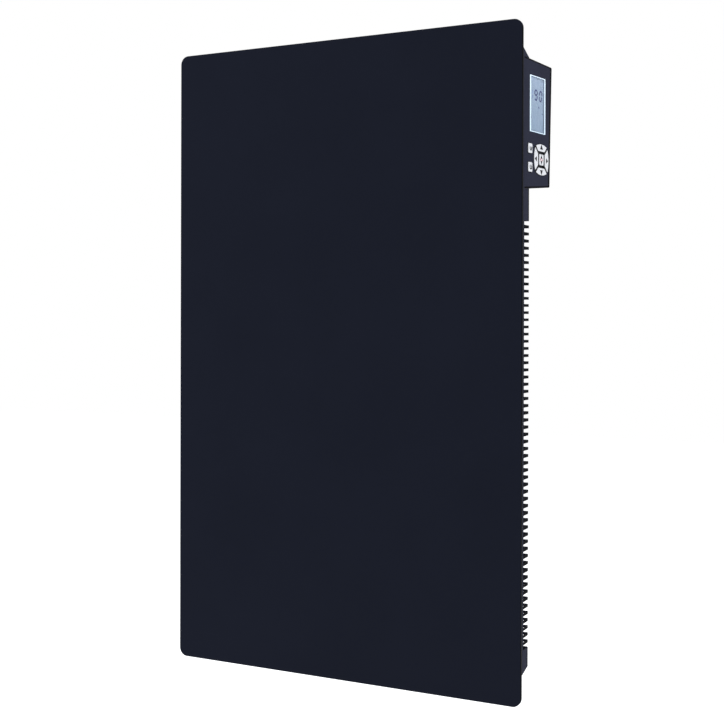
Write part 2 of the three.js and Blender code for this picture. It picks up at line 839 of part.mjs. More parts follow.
// Turns points about the ring's centre, so that x points along the two steps.
function turnedOnPad(points, alongStep, upStep) {
  return points.map(([x, y]) => [
    padCentre + x * alongStep - y * upStep,
    padHeight + x * upStep + y * alongStep,
  ]);
}

// A quarter of the ring round the centre key, cut straight on its inner side.
// The two steps give the side of the centre that it lies on.
function padKeyOutline(alongStep, upStep, inner) {
  const besideDiagonal = padSplit * Math.SQRT1_2;
  const side = inner - besideDiagonal;
  const points = [...padArc(padArcRadius, besideDiagonal), [inner, side], [inner, -side]];
  return polygon(turnedOnPad(points, alongStep, upStep));
}

// The opening that the ring's keys and the centre key stand in.
function padHoleOutline() {
  const arc = padArc(padArcRadius + keyFit, 0).slice(0, -1);
  const sides = [[1, 0], [0, 1], [-1, 0], [0, -1]];
  return polygon(sides.flatMap(([alongStep, upStep]) => turnedOnPad(arc, alongStep, upStep)));
}

// A key's cap, with the stem that reaches through the guide plate.
function key(outline, x, y) {
  const cap = bevelled(outline, capBack, keyProud, keyBevel);
  return join(cap, prismZ(disc(x, y, stemDiameter / 2, 8), stemEnd, (capBack + keyProud) / 2));
}

// Every key: its outline on the face and the place of its stem.
function keyList() {
  const [w, h] = [okWidth / 2, okHeight / 2];
  const ok = rectangle(padCentre - w, padHeight - h, padCentre + w, padHeight + h, keyCorner);
  const along = (padInnerAlong + padRadius) / 2;
  const up = (padInnerUp + padRadius) / 2;
  const [upperSmall, lowerSmall] = smallKeyHeights();
  return [
    { name: 'key_up', outline: padKeyOutline(0, 1, padInnerUp), x: padCentre, y: padHeight + up },
    { name: 'key_down', outline: padKeyOutline(0, -1, padInnerUp), x: padCentre, y: padHeight - up },
    { name: 'key_left', outline: padKeyOutline(-1, 0, padInnerAlong), x: padCentre - along, y: padHeight },
    { name: 'key_right', outline: padKeyOutline(1, 0, padInnerAlong), x: padCentre + along, y: padHeight },
    { name: 'key_ok', outline: ok, x: padCentre, y: padHeight },
    { name: 'key_mode', outline: smallKeyOutline(upperSmall, 0), x: smallKeyAlong, y: upperSmall },
    { name: 'key_power', outline: smallKeyOutline(lowerSmall, 0), x: smallKeyAlong, y: lowerSmall },
  ];
}

// The plate and the mat behind the keys share one outline.
function keypadOutline(out) {
  const low = padHeight - padRadius - keyFit - boxWall / 2;
  const high = padHeight + padRadius + keyFit + boxWall / 2;
  return polygon([
    [boardFrontEdge, low], [rearEdge(low, out), low], [rearEdge(high, out), high], [boardFrontEdge, high],
  ]);
}

function keyGuide() {
  const holes = keyList().map(({ x, y }) => disc(x, y, stemDiameter / 2 + stemFit, 8));
  return prismZ(withHoles(keypadOutline(guideBack), holes), guideBack, guideFront);
}

function keypadMat() {
  const dome = (x, y) => prismZ(disc(x, y, domeDiameter / 2, 8), matBack + seat, domeTop);
  const domes = keyList().map(({ x, y }) => dome(x, y));
  return join(prismZ(keypadOutline(matBack), matBack, matFront), ...domes);
}

function displayBoard() {
  const outline = rectangle(boardFrontEdge, boardBottomEdge, boardRearEdge, boardTopEdge);
  return prismZ(outline, boardBack, boardFront);
}

function displayLens() {
  return prismZ(displayOutline(displayFit), lensBack, -lensRecess);
}

function displayFrame() {
  const outline = withHoles(displayOutline(displayFit), [displayOutline(frameBorder)]);
  return prismZ(outline, frameBack, frameFront);
}

function displayGlass() {
  return prismZ(displayOutline(frameBorder + seat), frameBack, frameFront - film);
}

function displayBacklight() {
  return prismZ(displayOutline(displayFit), boardFront + seat, frameBack - seat);
}

// Room sensor on the back of the display board, above the box's vents.
function roomSensor() {
  const [depth, length, height] = sensorSize;
  const x0 = (boardFrontEdge + boardRearEdge - length) / 2;
  const y0 = boardBottomEdge + seat;
  const back = boardBack - seat;
  return box(x0, y0, back - depth, x0 + length, y0 + height, back);
}

function powerBoard() {
  return box(powerBoardX, powerBoardFrontY, powerBoardBottom,
    powerBoardX + boardThickness, powerBoardRearY, powerBoardTop);
}

// A block that stands on the power board, in the middle of its width.
function onPowerBoard([height, length, width], bottom) {
  const y = (powerBoardFrontY + powerBoardRearY) / 2;
  return box(partsX, y - length / 2, bottom, partsX + height, y + length / 2, bottom + width);
}

function supplyTerminal() {
  const y0 = powerBoardFrontY + seat;
  const x1 = partsX + terminalDepth;
  const body = box(partsX, y0, terminalBottom, x1, y0 + terminalWidth, terminalBottom + terminalHeight);
  const wells = Array.from({ length: terminalPoles }, (_, i) => {
    const z = terminalBottom + ((i + 0.5) * terminalHeight) / terminalPoles;
    return cylinderX(y0 + terminalWidth / 2, z, terminalWidth / 2, x1 - over, x1 + over, 10);
  });
  return cut(body, ...wells);
}

function heatSink() {
  const [height, length, width] = heatSinkSize;
  const y0 = (powerBoardFrontY + powerBoardRearY - length) / 2;
  const pitch = (length - heatSinkFinThickness) / (heatSinkFins - 1);
  const root = partsX + heatSinkBase;
  const comb = [[partsX, y0]];
  for (let fin = 0; fin < heatSinkFins; fin += 1) {
    const finY = y0 + fin * pitch;
    comb.push([partsX + height, finY], [partsX + height, finY + heatSinkFinThickness]);
    if (fin + 1 < heatSinkFins) {
      comb.push([root, finY + heatSinkFinThickness], [root, finY + pitch]);
    }
  }
  comb.push([partsX, y0 + length]);
  return prismZ(polygon(comb), heatSinkBottom, heatSinkBottom + width);
}

// Flat cable between the two boards, with one step in it.
function ribbonCable() {
  const y0 = powerBoardRearY - ribbonInset;
  const y1 = y0 - ribbonStep;
  const x1 = faceX(y1, boardBack) - 2 * seat;
  const middle = (partsX + x1) / 2;
  const t = ribbonThickness;
  const outline = polygon([
    [partsX, y0], [middle, y0], [middle + t, y1], [x1, y1],
    [x1, y1 - t], [middle, y1 - t], [middle - t, y0 - t], [partsX, y0 - t],
  ]);
  return prismZ(outline, transformerBottom, transformerBottom + ribbonWidth);
}

// Bush in the box's inner wall that the supply cord passes through.
function cordInlet() {
  const bore = inletBore / 2;
  const neck = inletNeck / 2;
  const flange = inletFlange / 2;
  const inside = -boxWall - inletSpigot;
  const flangeEnd = seat + inletFlangeThickness;
  const profile = [
    [bore, inside], [neck, inside], [neck, seat], [flange, seat], [flange, flangeEnd - inletFlangeBevel],
    [flange - inletFlangeBevel, flangeEnd], [neck, inletLength], [bore, inletLength], [bore, inside],
  ];
  return turned(profile, 16).rotateZ(Math.PI / 2).translate(boxInnerX, inletY, inletZ);
}

// Bush that lines the hole where the wires pass into the casing.
function wireGrommet() {
  const bore = grommetBore / 2;
  const neck = grommetNeck / 2;
  const flange = grommetFlange / 2;
  const front = casingInside - grommetFlangeThickness;
  const seatY = boxStepY + boxWall + seat;
  const back = seatY + grommetFlangeThickness;
  const profile = [
    [bore, front], [neck, front], [neck, seatY], [flange, seatY],
    [flange, back], [bore, back], [bore, front],
  ];
  return turned(profile, 16).translate(grommetX, 0, grommetZ);
}

// ---- Wiring ----------------------------------------------------------------

// From the supply terminal through the grommet and flat along the casing.
function leadIn(z, fan) {
  const start = powerBoardFrontY;
  return [
    [grommetX, start, z], [grommetX, (start + casingRear) / 2, z], [grommetX, casingInside - film, z],
    [grommetX - wireBend, wiringY, z + fan], [grommetX - wireLead, wiringY, z + 2 * fan],
  ];
}

function liveWire() {
  const edge = cutoutX + cutoutDiameter / 2 + seat;
  return wire([
    ...leadIn(grommetZ + wireSpacing / 2, 0),
    [edge + wireLead, wiringY, cutoutZ], [edge, wiringY, cutoutZ],
  ], 24);
}

function neutralWire() {
  const edge = studX + studDiameter / 2 + seat;
  const end = studHeights.neutral;
  return wire([
    ...leadIn(grommetZ - wireSpacing / 2, -1),
    [cutoutX + cutoutDiameter, wiringY, (cutoutZ + end) / 2],
    [edge + wireLead, wiringY, end], [edge, wiringY, end],
  ], 32);
}

function linkWire() {
  const from = cutoutX - cutoutDiameter / 2 - seat;
  const to = studX + studDiameter / 2 + seat;
  const middle = [(from + to) / 2, wiringY, cutoutZ - wireSag];
  return wire([[from, wiringY, cutoutZ], middle, [to, wiringY, cutoutZ]], 12);
}

// ---- Wall bracket and latches ----------------------------------------------

function hook(side, z) {
  const tip = flangeFront - hookReach;
  const upper = z + hookNeck / 2;
  const lower = z - hookNeck / 2;
  const profile = polygon([
    [flangeRear, lower], [tip, lower], [tip, upper + hookLip], [tip + hookLipThickness, upper + hookLip],
    [tip + hookLipThickness, upper], [flangeRear, upper],
  ]);
  const x0 = Math.min(side * (uprightOuter - bracketSheet), side * uprightOuter);
  return prismX(profile, x0, x0 + bracketSheet);
}

// Channel with one flange on the wall, one behind the casing, and two hooks.
function upright(side) {
  const s = bracketSheet;
  const plan = polygon([
    [uprightInner, 0], [uprightOuter, 0], [uprightOuter, flangeFront], [uprightInner, flangeFront],
    [uprightInner, flangeRear], [uprightOuter - s, flangeRear], [uprightOuter - s, -s], [uprightInner, -s],
  ].map(([x, y]) => [side * x, y]));
  const channel = prismZ(plan, -uprightTop, uprightTop);
  const slotX = side * (uprightInner + (uprightFlange - s) / 2);
  const slots = [-1, 1].map((end) => {
    const z = end * (uprightTop - wallSlotInset);
    const [w, h] = [wallSlotWidth / 2, wallSlotLength / 2];
    const outline = rectangle(slotX - w, z - h, slotX + w, z + h, w - slotEndFlat / 2);
    return prismY(outline, -s - over, over);
  });
  const pinHole = cylinderY(
    side * latchX, latchZ, pinDiameter + 2 * film, flangeFront - over, flangeRear + over,
  );
  return cut(join(channel, hook(side, hookSpread), hook(side, -hookSpread)), ...slots, pinHole);
}

// Strip on the wall whose ends step forward over the uprights' wall flanges.
function crossbar() {
  const s = bracketSheet;
  const step = s + seat;
  const bend = uprightInner - 2 * s;
  const start = bend - 2 * s;
  const end = uprightInner + crossbarLap;
  const wallSide = [[start, 0], [bend, -step], [end, -step]];
  const frontSide = [[end, -step - s], [bend, -step - s], [start, -s]];
  const right = [...wallSide, ...frontSide];
  const left = right.map(([x, y]) => [-x, y]).reverse();
  return prismZ(polygon([...right, ...left]), -crossbarHeight / 2, crossbarHeight / 2);
}

// Turning latch whose blade stands over the casing's catch.
function latch(side) {
  const z0 = latchZ - latchBlade / 2;
  const z1 = latchZ + latchBlade / 2;
  const tip = latchX - latchReach;
  const blade = sidedBox(side, tip, latchX, latchFront, latchRear, z0, z1);
  const tab = sidedBox(side, tip, tip + latchThickness, latchFront, latchRear + latchTab, z0, z1);
  const hub = cylinderY(side * latchX, latchZ, latchHub, latchFront, latchRear);
  const bore = cylinderY(side * latchX, latchZ, latchBore, latchFront - over, latchRear + over);
  return cut(join(hub, blade, tab), bore);
}

function latchPin(side) {
  const shank = pinDiameter / 2;
  const head = pinHead / 2;
  const neck = latchRear + seat;
  const profile = [
    [0, flangeFront], [shank, flangeFront], [shank, neck], [head, neck],
    [head, neck + pinHeadHeight / 2], [pinHeadCrown / 2, neck + pinHeadHeight], [0, neck + pinHeadHeight],
  ];
  return turned(profile, 16).translate(side * latchX, 0, latchZ);
}

// Angle on the casing's rear that the latch stops from rising.
function latchCatch(side) {
  const top = latchZ - latchBlade / 2 - catchGap;
  const front = casingRear + seat;
  const profile = polygon([
    [front, top - catchFoot], [front + catchSheet, top - catchFoot], [front + catchSheet, top - catchSheet],
    [front + catchDepth, top - catchSheet], [front + catchDepth, top], [front, top],
  ]);
  const x0 = latchX - latchReach + latchThickness + running;
  const centre = side * (x0 + catchWidth / 2);
  return prismX(profile, centre - catchWidth / 2, centre + catchWidth / 2);
}

// ---- Assembly --------------------------------------------------------------

const looks = {
  enamelledGlass: { color: 0x1c202b, roughness: 0.4, metalness: 0 },
  paintedSteel: { color: 0x33353f, roughness: 0.5, metalness: 0.1 },
  darkPlastic: { color: 0x32343e, roughness: 0.55, metalness: 0 },
  blackPlastic: { color: 0x14151a, roughness: 0.6, metalness: 0 },
  blackRubber: { color: 0x101114, roughness: 0.8, metalness: 0 },
  keyPlastic: { color: 0xd2d3d6, roughness: 0.45, metalness: 0 },
  clearPlastic: { color: 0xe8eef5, roughness: 0.1, metalness: 0 },
  displayFace: { color: 0xa3b7cf, roughness: 0.4, metalness: 0 },
  whitePlastic: { color: 0xe6ecf4, roughness: 0.5, metalness: 0 },
  circuitBoard: { color: 0x1f4a35, roughness: 0.6, metalness: 0 },
  zincSteel: { color: 0xb4b7ba, roughness: 0.4, metalness: 0.9 },
  aluminium: { color: 0xc9cbce, roughness: 0.35, metalness: 0.9 },
  foil: { color: 0x8f8a80, roughness: 0.35, metalness: 0.9 },
  brass: { color: 0xb79a55, roughness: 0.35, metalness: 0.9 },
  mica: { color: 0xb9a98a, roughness: 0.6, metalness: 0 },
  fibre: { color: 0xe3e0d6, roughness: 0.95, metalness: 0 },
  relayBlue: { color: 0x2a5f9e, roughness: 0.5, metalness: 0 },
  transformerYellow: { color: 0xc9a43a, roughness: 0.6, metalness: 0 },
  liveSleeve: { color: 0x6b3f25, roughness: 0.6, metalness: 0 },
  neutralSleeve: { color: 0x2f5f9a, roughness: 0.6, metalness: 0 },
};

const heater = new THREE.Group();

function add(parent, name, geometry, look) {
  const mesh = new THREE.Mesh(geometry, new THREE.MeshStandardMaterial(look));
  mesh.name = name;
  parent.add(mesh);
}

function addGroup(parent, group = new THREE.Group()) {
  parent.add(group);
  return group;
}

const panel = addGroup(heater);
add(panel, 'front_panel', frontPanel(), looks.enamelledGlass);
add(panel, 'edge_seal', edgeSeal(), looks.blackRubber);
add(panel, 'mica_front', stackSheet(micaFrontFace, micaThickness), looks.mica);
add(panel, 'heating_element', heatingElement(), looks.foil);
add(panel, 'mica_rear', stackSheet(micaRearFace, micaThickness, studHoles()), looks.mica);
add(panel, 'insulation_mat', stackSheet(insulationFace, insulationThickness, studHoles()), looks.fibre);
add(panel, 'reflector_sheet', stackSheet(reflectorFace, reflectorThickness, studHoles()), looks.aluminium);
add(panel, 'thermal_cutout', thermalCutout(), looks.blackPlastic);
for (const [pole, z] of Object.entries(studHeights)) {
  add(panel, `element_stud_${pole}`, elementStud(z), looks.brass);
}

const casing = addGroup(heater);
add(casing, 'rear_casing', rearCasing(), looks.paintedSteel);
for (const [place, z] of Object.entries(railHeights)) {
  add(casing, `retaining_rail_${place}`, retainingRail(z), looks.zincSteel);
  for (const [hand, side] of [['left', -1], ['right', 1]]) {
    const railScrew = screw(side * railScrewX, casingRear + seat, z, railScrewLength);
    add(casing, `rail_screw_${place}_${hand}`, railScrew, looks.zincSteel);
  }
}

const control = addGroup(heater);
add(control, 'control_housing', controlHousing(), looks.darkPlastic);
lugHeights().forEach((z, index) => {
  const headY = boxStepY + lugThickness + seat;
  const length = headY - casingInside + screwShank / 2;
  const lugScrew = screw(lugScrewX(), headY, z, length);
  add(control, `housing_screw_${['bottom', 'top'][index]}`, lugScrew, looks.zincSteel);
});
add(control, 'power_board', powerBoard(), looks.circuitBoard);
add(control, 'supply_terminal', supplyTerminal(), looks.blackPlastic);
add(control, 'relay', onPowerBoard(relaySize, relayBottom), looks.relayBlue);
add(control, 'transformer', onPowerBoard(transformerSize, transformerBottom), looks.transformerYellow);
add(control, 'heat_sink', heatSink(), looks.aluminium);
add(control, 'ribbon_cable', ribbonCable(), looks.whitePlastic);
add(control, 'cord_inlet', cordInlet(), looks.blackRubber);
add(control, 'wire_grommet', wireGrommet(), looks.blackRubber);
add(control, 'live_wire', liveWire(), looks.liveSleeve);
add(control, 'neutral_wire', neutralWire(), looks.neutralSleeve);
add(control, 'link_wire', linkWire(), looks.liveSleeve);

const face = addGroup(control, faceGroup());
add(face, 'control_fascia', fascia(), looks.darkPlastic);
add(face, 'display_lens', displayLens(), looks.clearPlastic);
add(face, 'display_frame', displayFrame(), looks.whitePlastic);
add(face, 'display_glass', displayGlass(), looks.displayFace);
add(face, 'display_backlight', displayBacklight(), looks.whitePlastic);
add(face, 'display_board', displayBoard(), looks.circuitBoard);
add(face, 'room_sensor', roomSensor(), looks.blackPlastic);
add(face, 'key_guide', keyGuide(), looks.blackPlastic);
add(face, 'keypad_mat', keypadMat(), looks.blackRubber);
for (const { name, outline, x, y } of keyList()) {
  add(face, name, key(outline, x, y), looks.keyPlastic);
}

const bracket = addGroup(heater);
add(bracket, 'bracket_crossbar', crossbar(), looks.zincSteel);
for (const [hand, side] of [['left', -1], ['right', 1]]) {
  add(bracket, `bracket_upright_${hand}`, upright(side), looks.zincSteel);
  add(bracket, `latch_${hand}`, latch(side), looks.zincSteel);
  add(bracket, `latch_pin_${hand}`, latchPin(side), looks.zincSteel);
  add(casing, `latch_catch_${hand}`, latchCatch(side), looks.paintedSteel);
}

export default heater;
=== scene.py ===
import json
from math import atan2, cos, pi, sin, sqrt, tan

import bmesh
import bpy
from mathutils import Matrix, Vector
from mathutils.geometry import tessellate_polygon

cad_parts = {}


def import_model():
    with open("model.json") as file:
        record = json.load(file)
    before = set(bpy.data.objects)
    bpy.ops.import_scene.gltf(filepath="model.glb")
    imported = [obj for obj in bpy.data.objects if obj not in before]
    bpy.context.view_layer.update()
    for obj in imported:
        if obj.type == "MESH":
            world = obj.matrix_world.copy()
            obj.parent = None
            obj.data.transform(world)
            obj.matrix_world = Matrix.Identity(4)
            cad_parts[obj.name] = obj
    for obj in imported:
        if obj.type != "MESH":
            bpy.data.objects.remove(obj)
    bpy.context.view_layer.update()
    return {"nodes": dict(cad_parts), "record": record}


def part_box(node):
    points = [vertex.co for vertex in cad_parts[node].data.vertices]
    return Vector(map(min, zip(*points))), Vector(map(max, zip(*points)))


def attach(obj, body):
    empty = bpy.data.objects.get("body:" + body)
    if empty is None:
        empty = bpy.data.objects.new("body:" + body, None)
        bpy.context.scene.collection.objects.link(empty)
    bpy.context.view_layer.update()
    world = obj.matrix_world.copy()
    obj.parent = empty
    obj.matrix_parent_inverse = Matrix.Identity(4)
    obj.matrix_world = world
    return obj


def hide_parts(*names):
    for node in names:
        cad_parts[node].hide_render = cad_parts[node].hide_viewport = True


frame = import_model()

# ---- Sizes ----
# Millimetres, in the heater's own frame: +X right, +Y towards the wall, +Z up.

MM = 0.001
DEGREE = pi / 180


def cad(node):
    """Lowest and highest corner of a node, in millimetres."""
    low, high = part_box(node)
    return low / MM, high / MM


def centre_of(node):
    return [(a + b) / 2 for a, b in zip(*cad(node))]


SEAT = 0.3  # gap between pieces that rest on each other
OVER = 2  # how far a cutting tool runs past what it cuts

PANEL_LOW, PANEL_HIGH = cad("front_panel")
PANEL_HALF = PANEL_HIGH.x
PANEL_TOP = PANEL_HIGH.z
PANEL_FRONT, PANEL_BACK = PANEL_LOW.y, PANEL_HIGH.y
PANEL_CORNER = 11.5
PANEL_EDGE = 0.7

CASING_LOW, CASING_HIGH = cad("rear_casing")
CASING_FRONT, CASING_REAR = CASING_LOW.y, CASING_HIGH.y
CASING_HALF, CASING_TOP, CASING_BOTTOM = CASING_HIGH.x, CASING_HIGH.z, CASING_LOW.z
CASING_SHEET = 0.8
CASING_FLANGE = 8
CASING_DRAFT = 0.5 * DEGREE
CASING_TOP_FALL = 9.7
CASING_BOTTOM_RISE = 6.8
CASING_BEND = 1.6
CASING_CORNER = 1
CASING_INSIDE = CASING_REAR - CASING_SHEET
SLOT_HEIGHT = 5.4
SLOT_PITCH = 8.71
SLOT_FRONT_LAND = 3
SLOT_WRAP = 12
SLOT_BOTTOM_MARGIN = 23.95
SLOT_TOP_MARGIN = 38.4

FACE_ANGLE = 8 * DEGREE
FACE_SIN, FACE_COS = sin(FACE_ANGLE), cos(FACE_ANGLE)
FACE_FRONT, FACE_REAR_TOP, FACE_REAR_BOTTOM = 5, 76.4, 71.2  # along the face
FACE_START_X = CASING_HALF - FACE_FRONT * FACE_SIN
BOX_BOTTOM, BOX_TOP = (corner.z for corner in cad("control_fascia"))
BOX_TOP_REAR, BOX_BOTTOM_REAR = BOX_TOP - 2.6, BOX_BOTTOM + 6.5
BOX_FRONT_Y = PANEL_BACK + FACE_FRONT * FACE_COS
BOX_REAR_TOP_Y = PANEL_BACK + FACE_REAR_TOP * FACE_COS
BOX_REAR_BOTTOM_Y = PANEL_BACK + FACE_REAR_BOTTOM * FACE_COS
BOX_INNER_X = PANEL_HALF - 36
BOX_STEP_Y = CASING_REAR + SEAT
BOX_WALL = 2
BOX_EDGE = 1.2  # rounding of the housing's edges
BOX_CORNER = 2.5
TONGUE_X = PANEL_HALF - 13
FASCIA_THICKNESS = 2.2
POST_DIAMETER, POST_INSET = 5, 4  # under the power board
BOSS_DIAMETER, BOSS_INSET = 5, 3.4  # behind the control face
RIM_OUT = -FASCIA_THICKNESS - SEAT
RISE = (BOX_BOTTOM_REAR - BOX_BOTTOM) / (BOX_REAR_BOTTOM_Y - BOX_FRONT_Y)
FALL = (BOX_TOP - BOX_TOP_REAR) / (BOX_REAR_TOP_Y - BOX_FRONT_Y)
LEAN = (BOX_REAR_TOP_Y - BOX_REAR_BOTTOM_Y) / (BOX_TOP_REAR - BOX_BOTTOM_REAR)
SLOTS_LOW = CASING_BOTTOM + CASING_BOTTOM_RISE + SLOT_BOTTOM_MARGIN
SLOTS_HIGH = BOX_BOTTOM - SLOT_TOP_MARGIN
SLOT_COUNT = round((SLOTS_HIGH - SLOTS_LOW - SLOT_HEIGHT) / SLOT_PITCH) + 1
SLOT_HEIGHTS = [SLOTS_LOW + SLOT_HEIGHT / 2 + i * SLOT_PITCH for i in range(SLOT_COUNT)]
LUG_LENGTH, LUG_WIDTH, LUG_THICKNESS, LUG_INSET = 14, 16, 3, 24
LUG_SCREW_X = BOX_INNER_X - LUG_LENGTH / 2
LUG_HEIGHTS = [BOX_BOTTOM + LUG_INSET, BOX_TOP - LUG_INSET]

DISPLAY_FRONT, DISPLAY_REAR = 18.2, 59.6
DISPLAY_TOP = BOX_TOP - 19.2
DISPLAY_BOTTOM = DISPLAY_TOP - 69.9
FRAME_BORDER = 2.2
LENS_RECESS, LENS_THICKNESS = 0.1, 1
FRAME_FRONT = -LENS_RECESS - LENS_THICKNESS - SEAT
FRAME_THICKNESS = 1.3
GLASS_FRONT = FRAME_FRONT - 0.15
PAD_X, PAD_Z = 47.5, DISPLAY_BOTTOM - 31.8
PAD_RADIUS = 19.3  # from the ring's centre to the middle of a key's outer edge
PAD_ARC_RADIUS = 36  # of that edge, so the ring is a square with bulging sides
PAD_SPLIT = 2.4
PAD_INNER_ALONG, PAD_INNER_UP = 8.5, 10
OK_WIDTH, OK_HEIGHT = 12.2, 14
SMALL_KEY_X = PAD_X - 29.1
SMALL_KEY_WIDTH, SMALL_KEY_HEIGHT, SMALL_KEY_PITCH = 11, 12.3, 22.9
SMALL_KEY_HEIGHTS = {"mode": PAD_Z + SMALL_KEY_PITCH / 2, "power": PAD_Z - SMALL_KEY_PITCH / 2}
KEY_CORNER, KEY_FIT, KEY_PROUD, KEY_ROUND = 2, 0.4, 0.8, 0.6
MARK_SUNK, MARK_PROUD = 0.08, 0.03  # below and above the key's crown
SYMBOL_RADII = 3.1, 1.4
KEY_BACK, STEM_END, STEM_DIAMETER = -1.2, -5.6, 4

INLET_Y, INLET_Z = centre_of("cord_inlet")[1], BOX_BOTTOM + 20
GROMMET_X, _, GROMMET_Z = centre_of("wire_grommet")
GROMMET_NECK = 9

UPRIGHT_LOW, UPRIGHT_HIGH = cad("bracket_upright_right")
UPRIGHT_INNER, UPRIGHT_OUTER = UPRIGHT_LOW.x, UPRIGHT_HIGH.x
UPRIGHT_TOP = UPRIGHT_HIGH.z
BRACKET_SHEET = 2
BRACKET_BEND = 2.6  # outer radius
WALL_SCREW_INSET = 35
CATCH_SHEET, CATCH_BEND = 1.5, 1.9
HOOK_Z = UPRIGHT_TOP - 50
HOOK_NECK, HOOK_LIP, HOOK_LIP_THICKNESS, HOOK_REACH = 10, 8, 3, 6.3
HOOK_PLAY = 2
FLANGE_FRONT = CASING_REAR + SEAT
FLANGE_REAR = FLANGE_FRONT + BRACKET_SHEET
LATCH_X = (UPRIGHT_INNER + UPRIGHT_OUTER - BRACKET_SHEET) / 2
LATCH_Z = UPRIGHT_TOP - 14
LATCH_FRONT, LATCH_THICKNESS = FLANGE_REAR + SEAT, 3
LATCH_REAR = LATCH_FRONT + LATCH_THICKNESS
LATCH_BLADE, LATCH_REACH, LATCH_HUB, LATCH_TAB = 10, 30, 16, 9
PIN_DIAMETER, PIN_HEAD, PIN_HEAD_HEIGHT = 5, 9, 1.5
SCREW_SHANK, SCREW_HEAD, SCREW_HEAD_HEIGHT = 3.6, 7, 2.2

# ---- Frames that shapes are drawn in ----


def placed(x_axis, y_axis, z_axis, origin=(0, 0, 0)):
    rotation = Matrix((x_axis, y_axis, z_axis)).transposed().to_4x4()
    return Matrix.Translation(Vector(origin)) @ rotation


TOP_VIEW = Matrix.Identity(4)
FRONT_VIEW = placed((1, 0, 0), (0, 0, 1), (0, -1, 0))  # (x, z), depth towards the room
SIDE_VIEW = placed((0, 1, 0), (0, 0, 1), (1, 0, 0))  # (y, z), depth to the right
FACE = placed(
    (FACE_SIN, FACE_COS, 0), (0, 0, 1), (FACE_COS, -FACE_SIN, 0), (FACE_START_X, PANEL_BACK, 0)
)  # (along the control face, z), depth out of it


def towards_wall(x, y, z):
    """A frame with its depth towards the wall."""
    return placed((1, 0, 0), (0, 0, -1), (0, 1, 0), (x, y, z))


# ---- Outlines ----


def arc(x, y, radius, start, end, steps):
    angles = [start + (end - start) * i / steps for i in range(steps + 1)]
    return [(x + radius * cos(a), y + radius * sin(a)) for a in angles]


def circle(x, y, radius, steps):
    return arc(x, y, radius, 0, 2 * pi, steps)[:-1]


def fillet(before, corner, after, radius, steps):
    """The arc that rounds a corner."""
    here = Vector(corner)
    back = (Vector(before) - here).normalized()
    ahead = (Vector(after) - here).normalized()
    half = back.angle(ahead) / 2
    if radius <= 0 or half > pi / 2 - 1e-3:
        return [tuple(here)]
    start = here + back * radius / tan(half)
    end = here + ahead * radius / tan(half)
    centre = here + (back + ahead).normalized() * radius / sin(half)
    a0 = atan2(start.y - centre.y, start.x - centre.x)
    a1 = atan2(end.y - centre.y, end.x - centre.x)
    turn = (a1 - a0 + pi) % (2 * pi) - pi
    return arc(centre.x, centre.y, radius, a0, a0 + turn, steps)


def rounded(corners, radii, steps):
    """A polygon with its corners rounded, each by its own radius."""
    points = []
    for i, radius in enumerate(radii):
        points += fillet(corners[i - 1], corners[i], corners[(i + 1) % len(corners)], radius, steps)
    return points


def rounded_rectangle(x0, y0, x1, y1, radii, steps):
    """A rectangle from its low left corner on, with a radius for each corner."""
    return rounded([(x0, y0), (x1, y0), (x1, y1), (x0, y1)], radii, steps)


def rectangle(x0, y0, x1, y1, radius=0, steps=6):
    return rounded_rectangle(x0, y0, x1, y1, [radius] * 4, steps)


def area(points):
    pairs = zip(points, points[1:] + points[:1])
    return sum(a[0] * b[1] - b[0] * a[1] for a, b in pairs) / 2


def inset(points, amount):
    """The outline moved to its left by an amount, its corners mitred."""
    if amount == 0:
        return points
    moved = []
    for i, point in enumerate(points):
        before = (Vector(point) - Vector(points[i - 1])).normalized()
        after = (Vector(points[(i + 1) % len(points)]) - Vector(point)).normalized()
        n0, n1 = Vector((-before.y, before.x)), Vector((-after.y, after.x))
        middle = (n0 + n1).normalized()
        moved.append(tuple(Vector(point) + middle * amount / max(middle.dot(n0), 0.3)))
    return moved


def edge_profile(low, high, low_radius, high_radius, steps):
    """(inset, depth) pairs from a plate's lower face to its upper face, both rims rounded."""
    turns = [pi / 2 * i / steps for i in range(steps + 1)]
    foot, head = [(0, low)], [(0, high)]
    if low_radius:
        foot = [(low_radius * (1 - sin(a)), low + low_radius * (1 - cos(a))) for a in turns]
    if high_radius:
        head = [(high_radius * (1 - cos(a)), high - high_radius * (1 - sin(a))) for a in turns]
    return foot + head


# ---- Meshes ----


def to_mesh(bm):
    bmesh.ops.recalc_face_normals(bm, faces=bm.faces)
    mesh = bpy.data.meshes.new("part")
    bm.to_mesh(mesh)
    bm.free()
    return mesh


def wall(bm, lower, upper):
    """Faces between two rings of vertices, where a ring of one vertex closes the body."""
    steps = max(len(lower), len(upper))
    for i in range(steps):
        j = (i + 1) % steps
        below = (lower[i % len(lower)], lower[j % len(lower)])
        above = (upper[j % len(upper)], upper[i % len(upper)])
        bm.faces.new(tuple(dict.fromkeys(below + above)))


def plate(outlines, profile, place=TOP_VIEW):
    """A solid between a rim and any holes. The profile gives each ring's inset and depth."""
    loops = [o if (area(o) > 0) == (i == 0) else o[::-1] for i, o in enumerate(outlines)]
    bm = bmesh.new()
    stacks = []
    for loop in loops:
        rings = [
            [bm.verts.new(place @ Vector((x, y, depth))) for x, y in inset(loop, amount)]
            for amount, depth in profile
        ]
        stacks.append(rings)
        for lower, upper in zip(rings, rings[1:]):
            wall(bm, lower, upper)
    for end in (0, -1):
        drawn = [[Vector((*p, 0)) for p in inset(loop, profile[end][0])] for loop in loops]
        flat = [vert for rings in stacks for vert in rings[end]]
        if len(loops) == 1:
            bm.faces.new(flat)
            continue
        for triangle in tessellate_polygon(drawn):
            bm.faces.new([flat[i] for i in triangle])
    return to_mesh(bm)


def prism(outlines, low, high, place=TOP_VIEW):
    return plate(outlines, [(0, low), (0, high)], place)


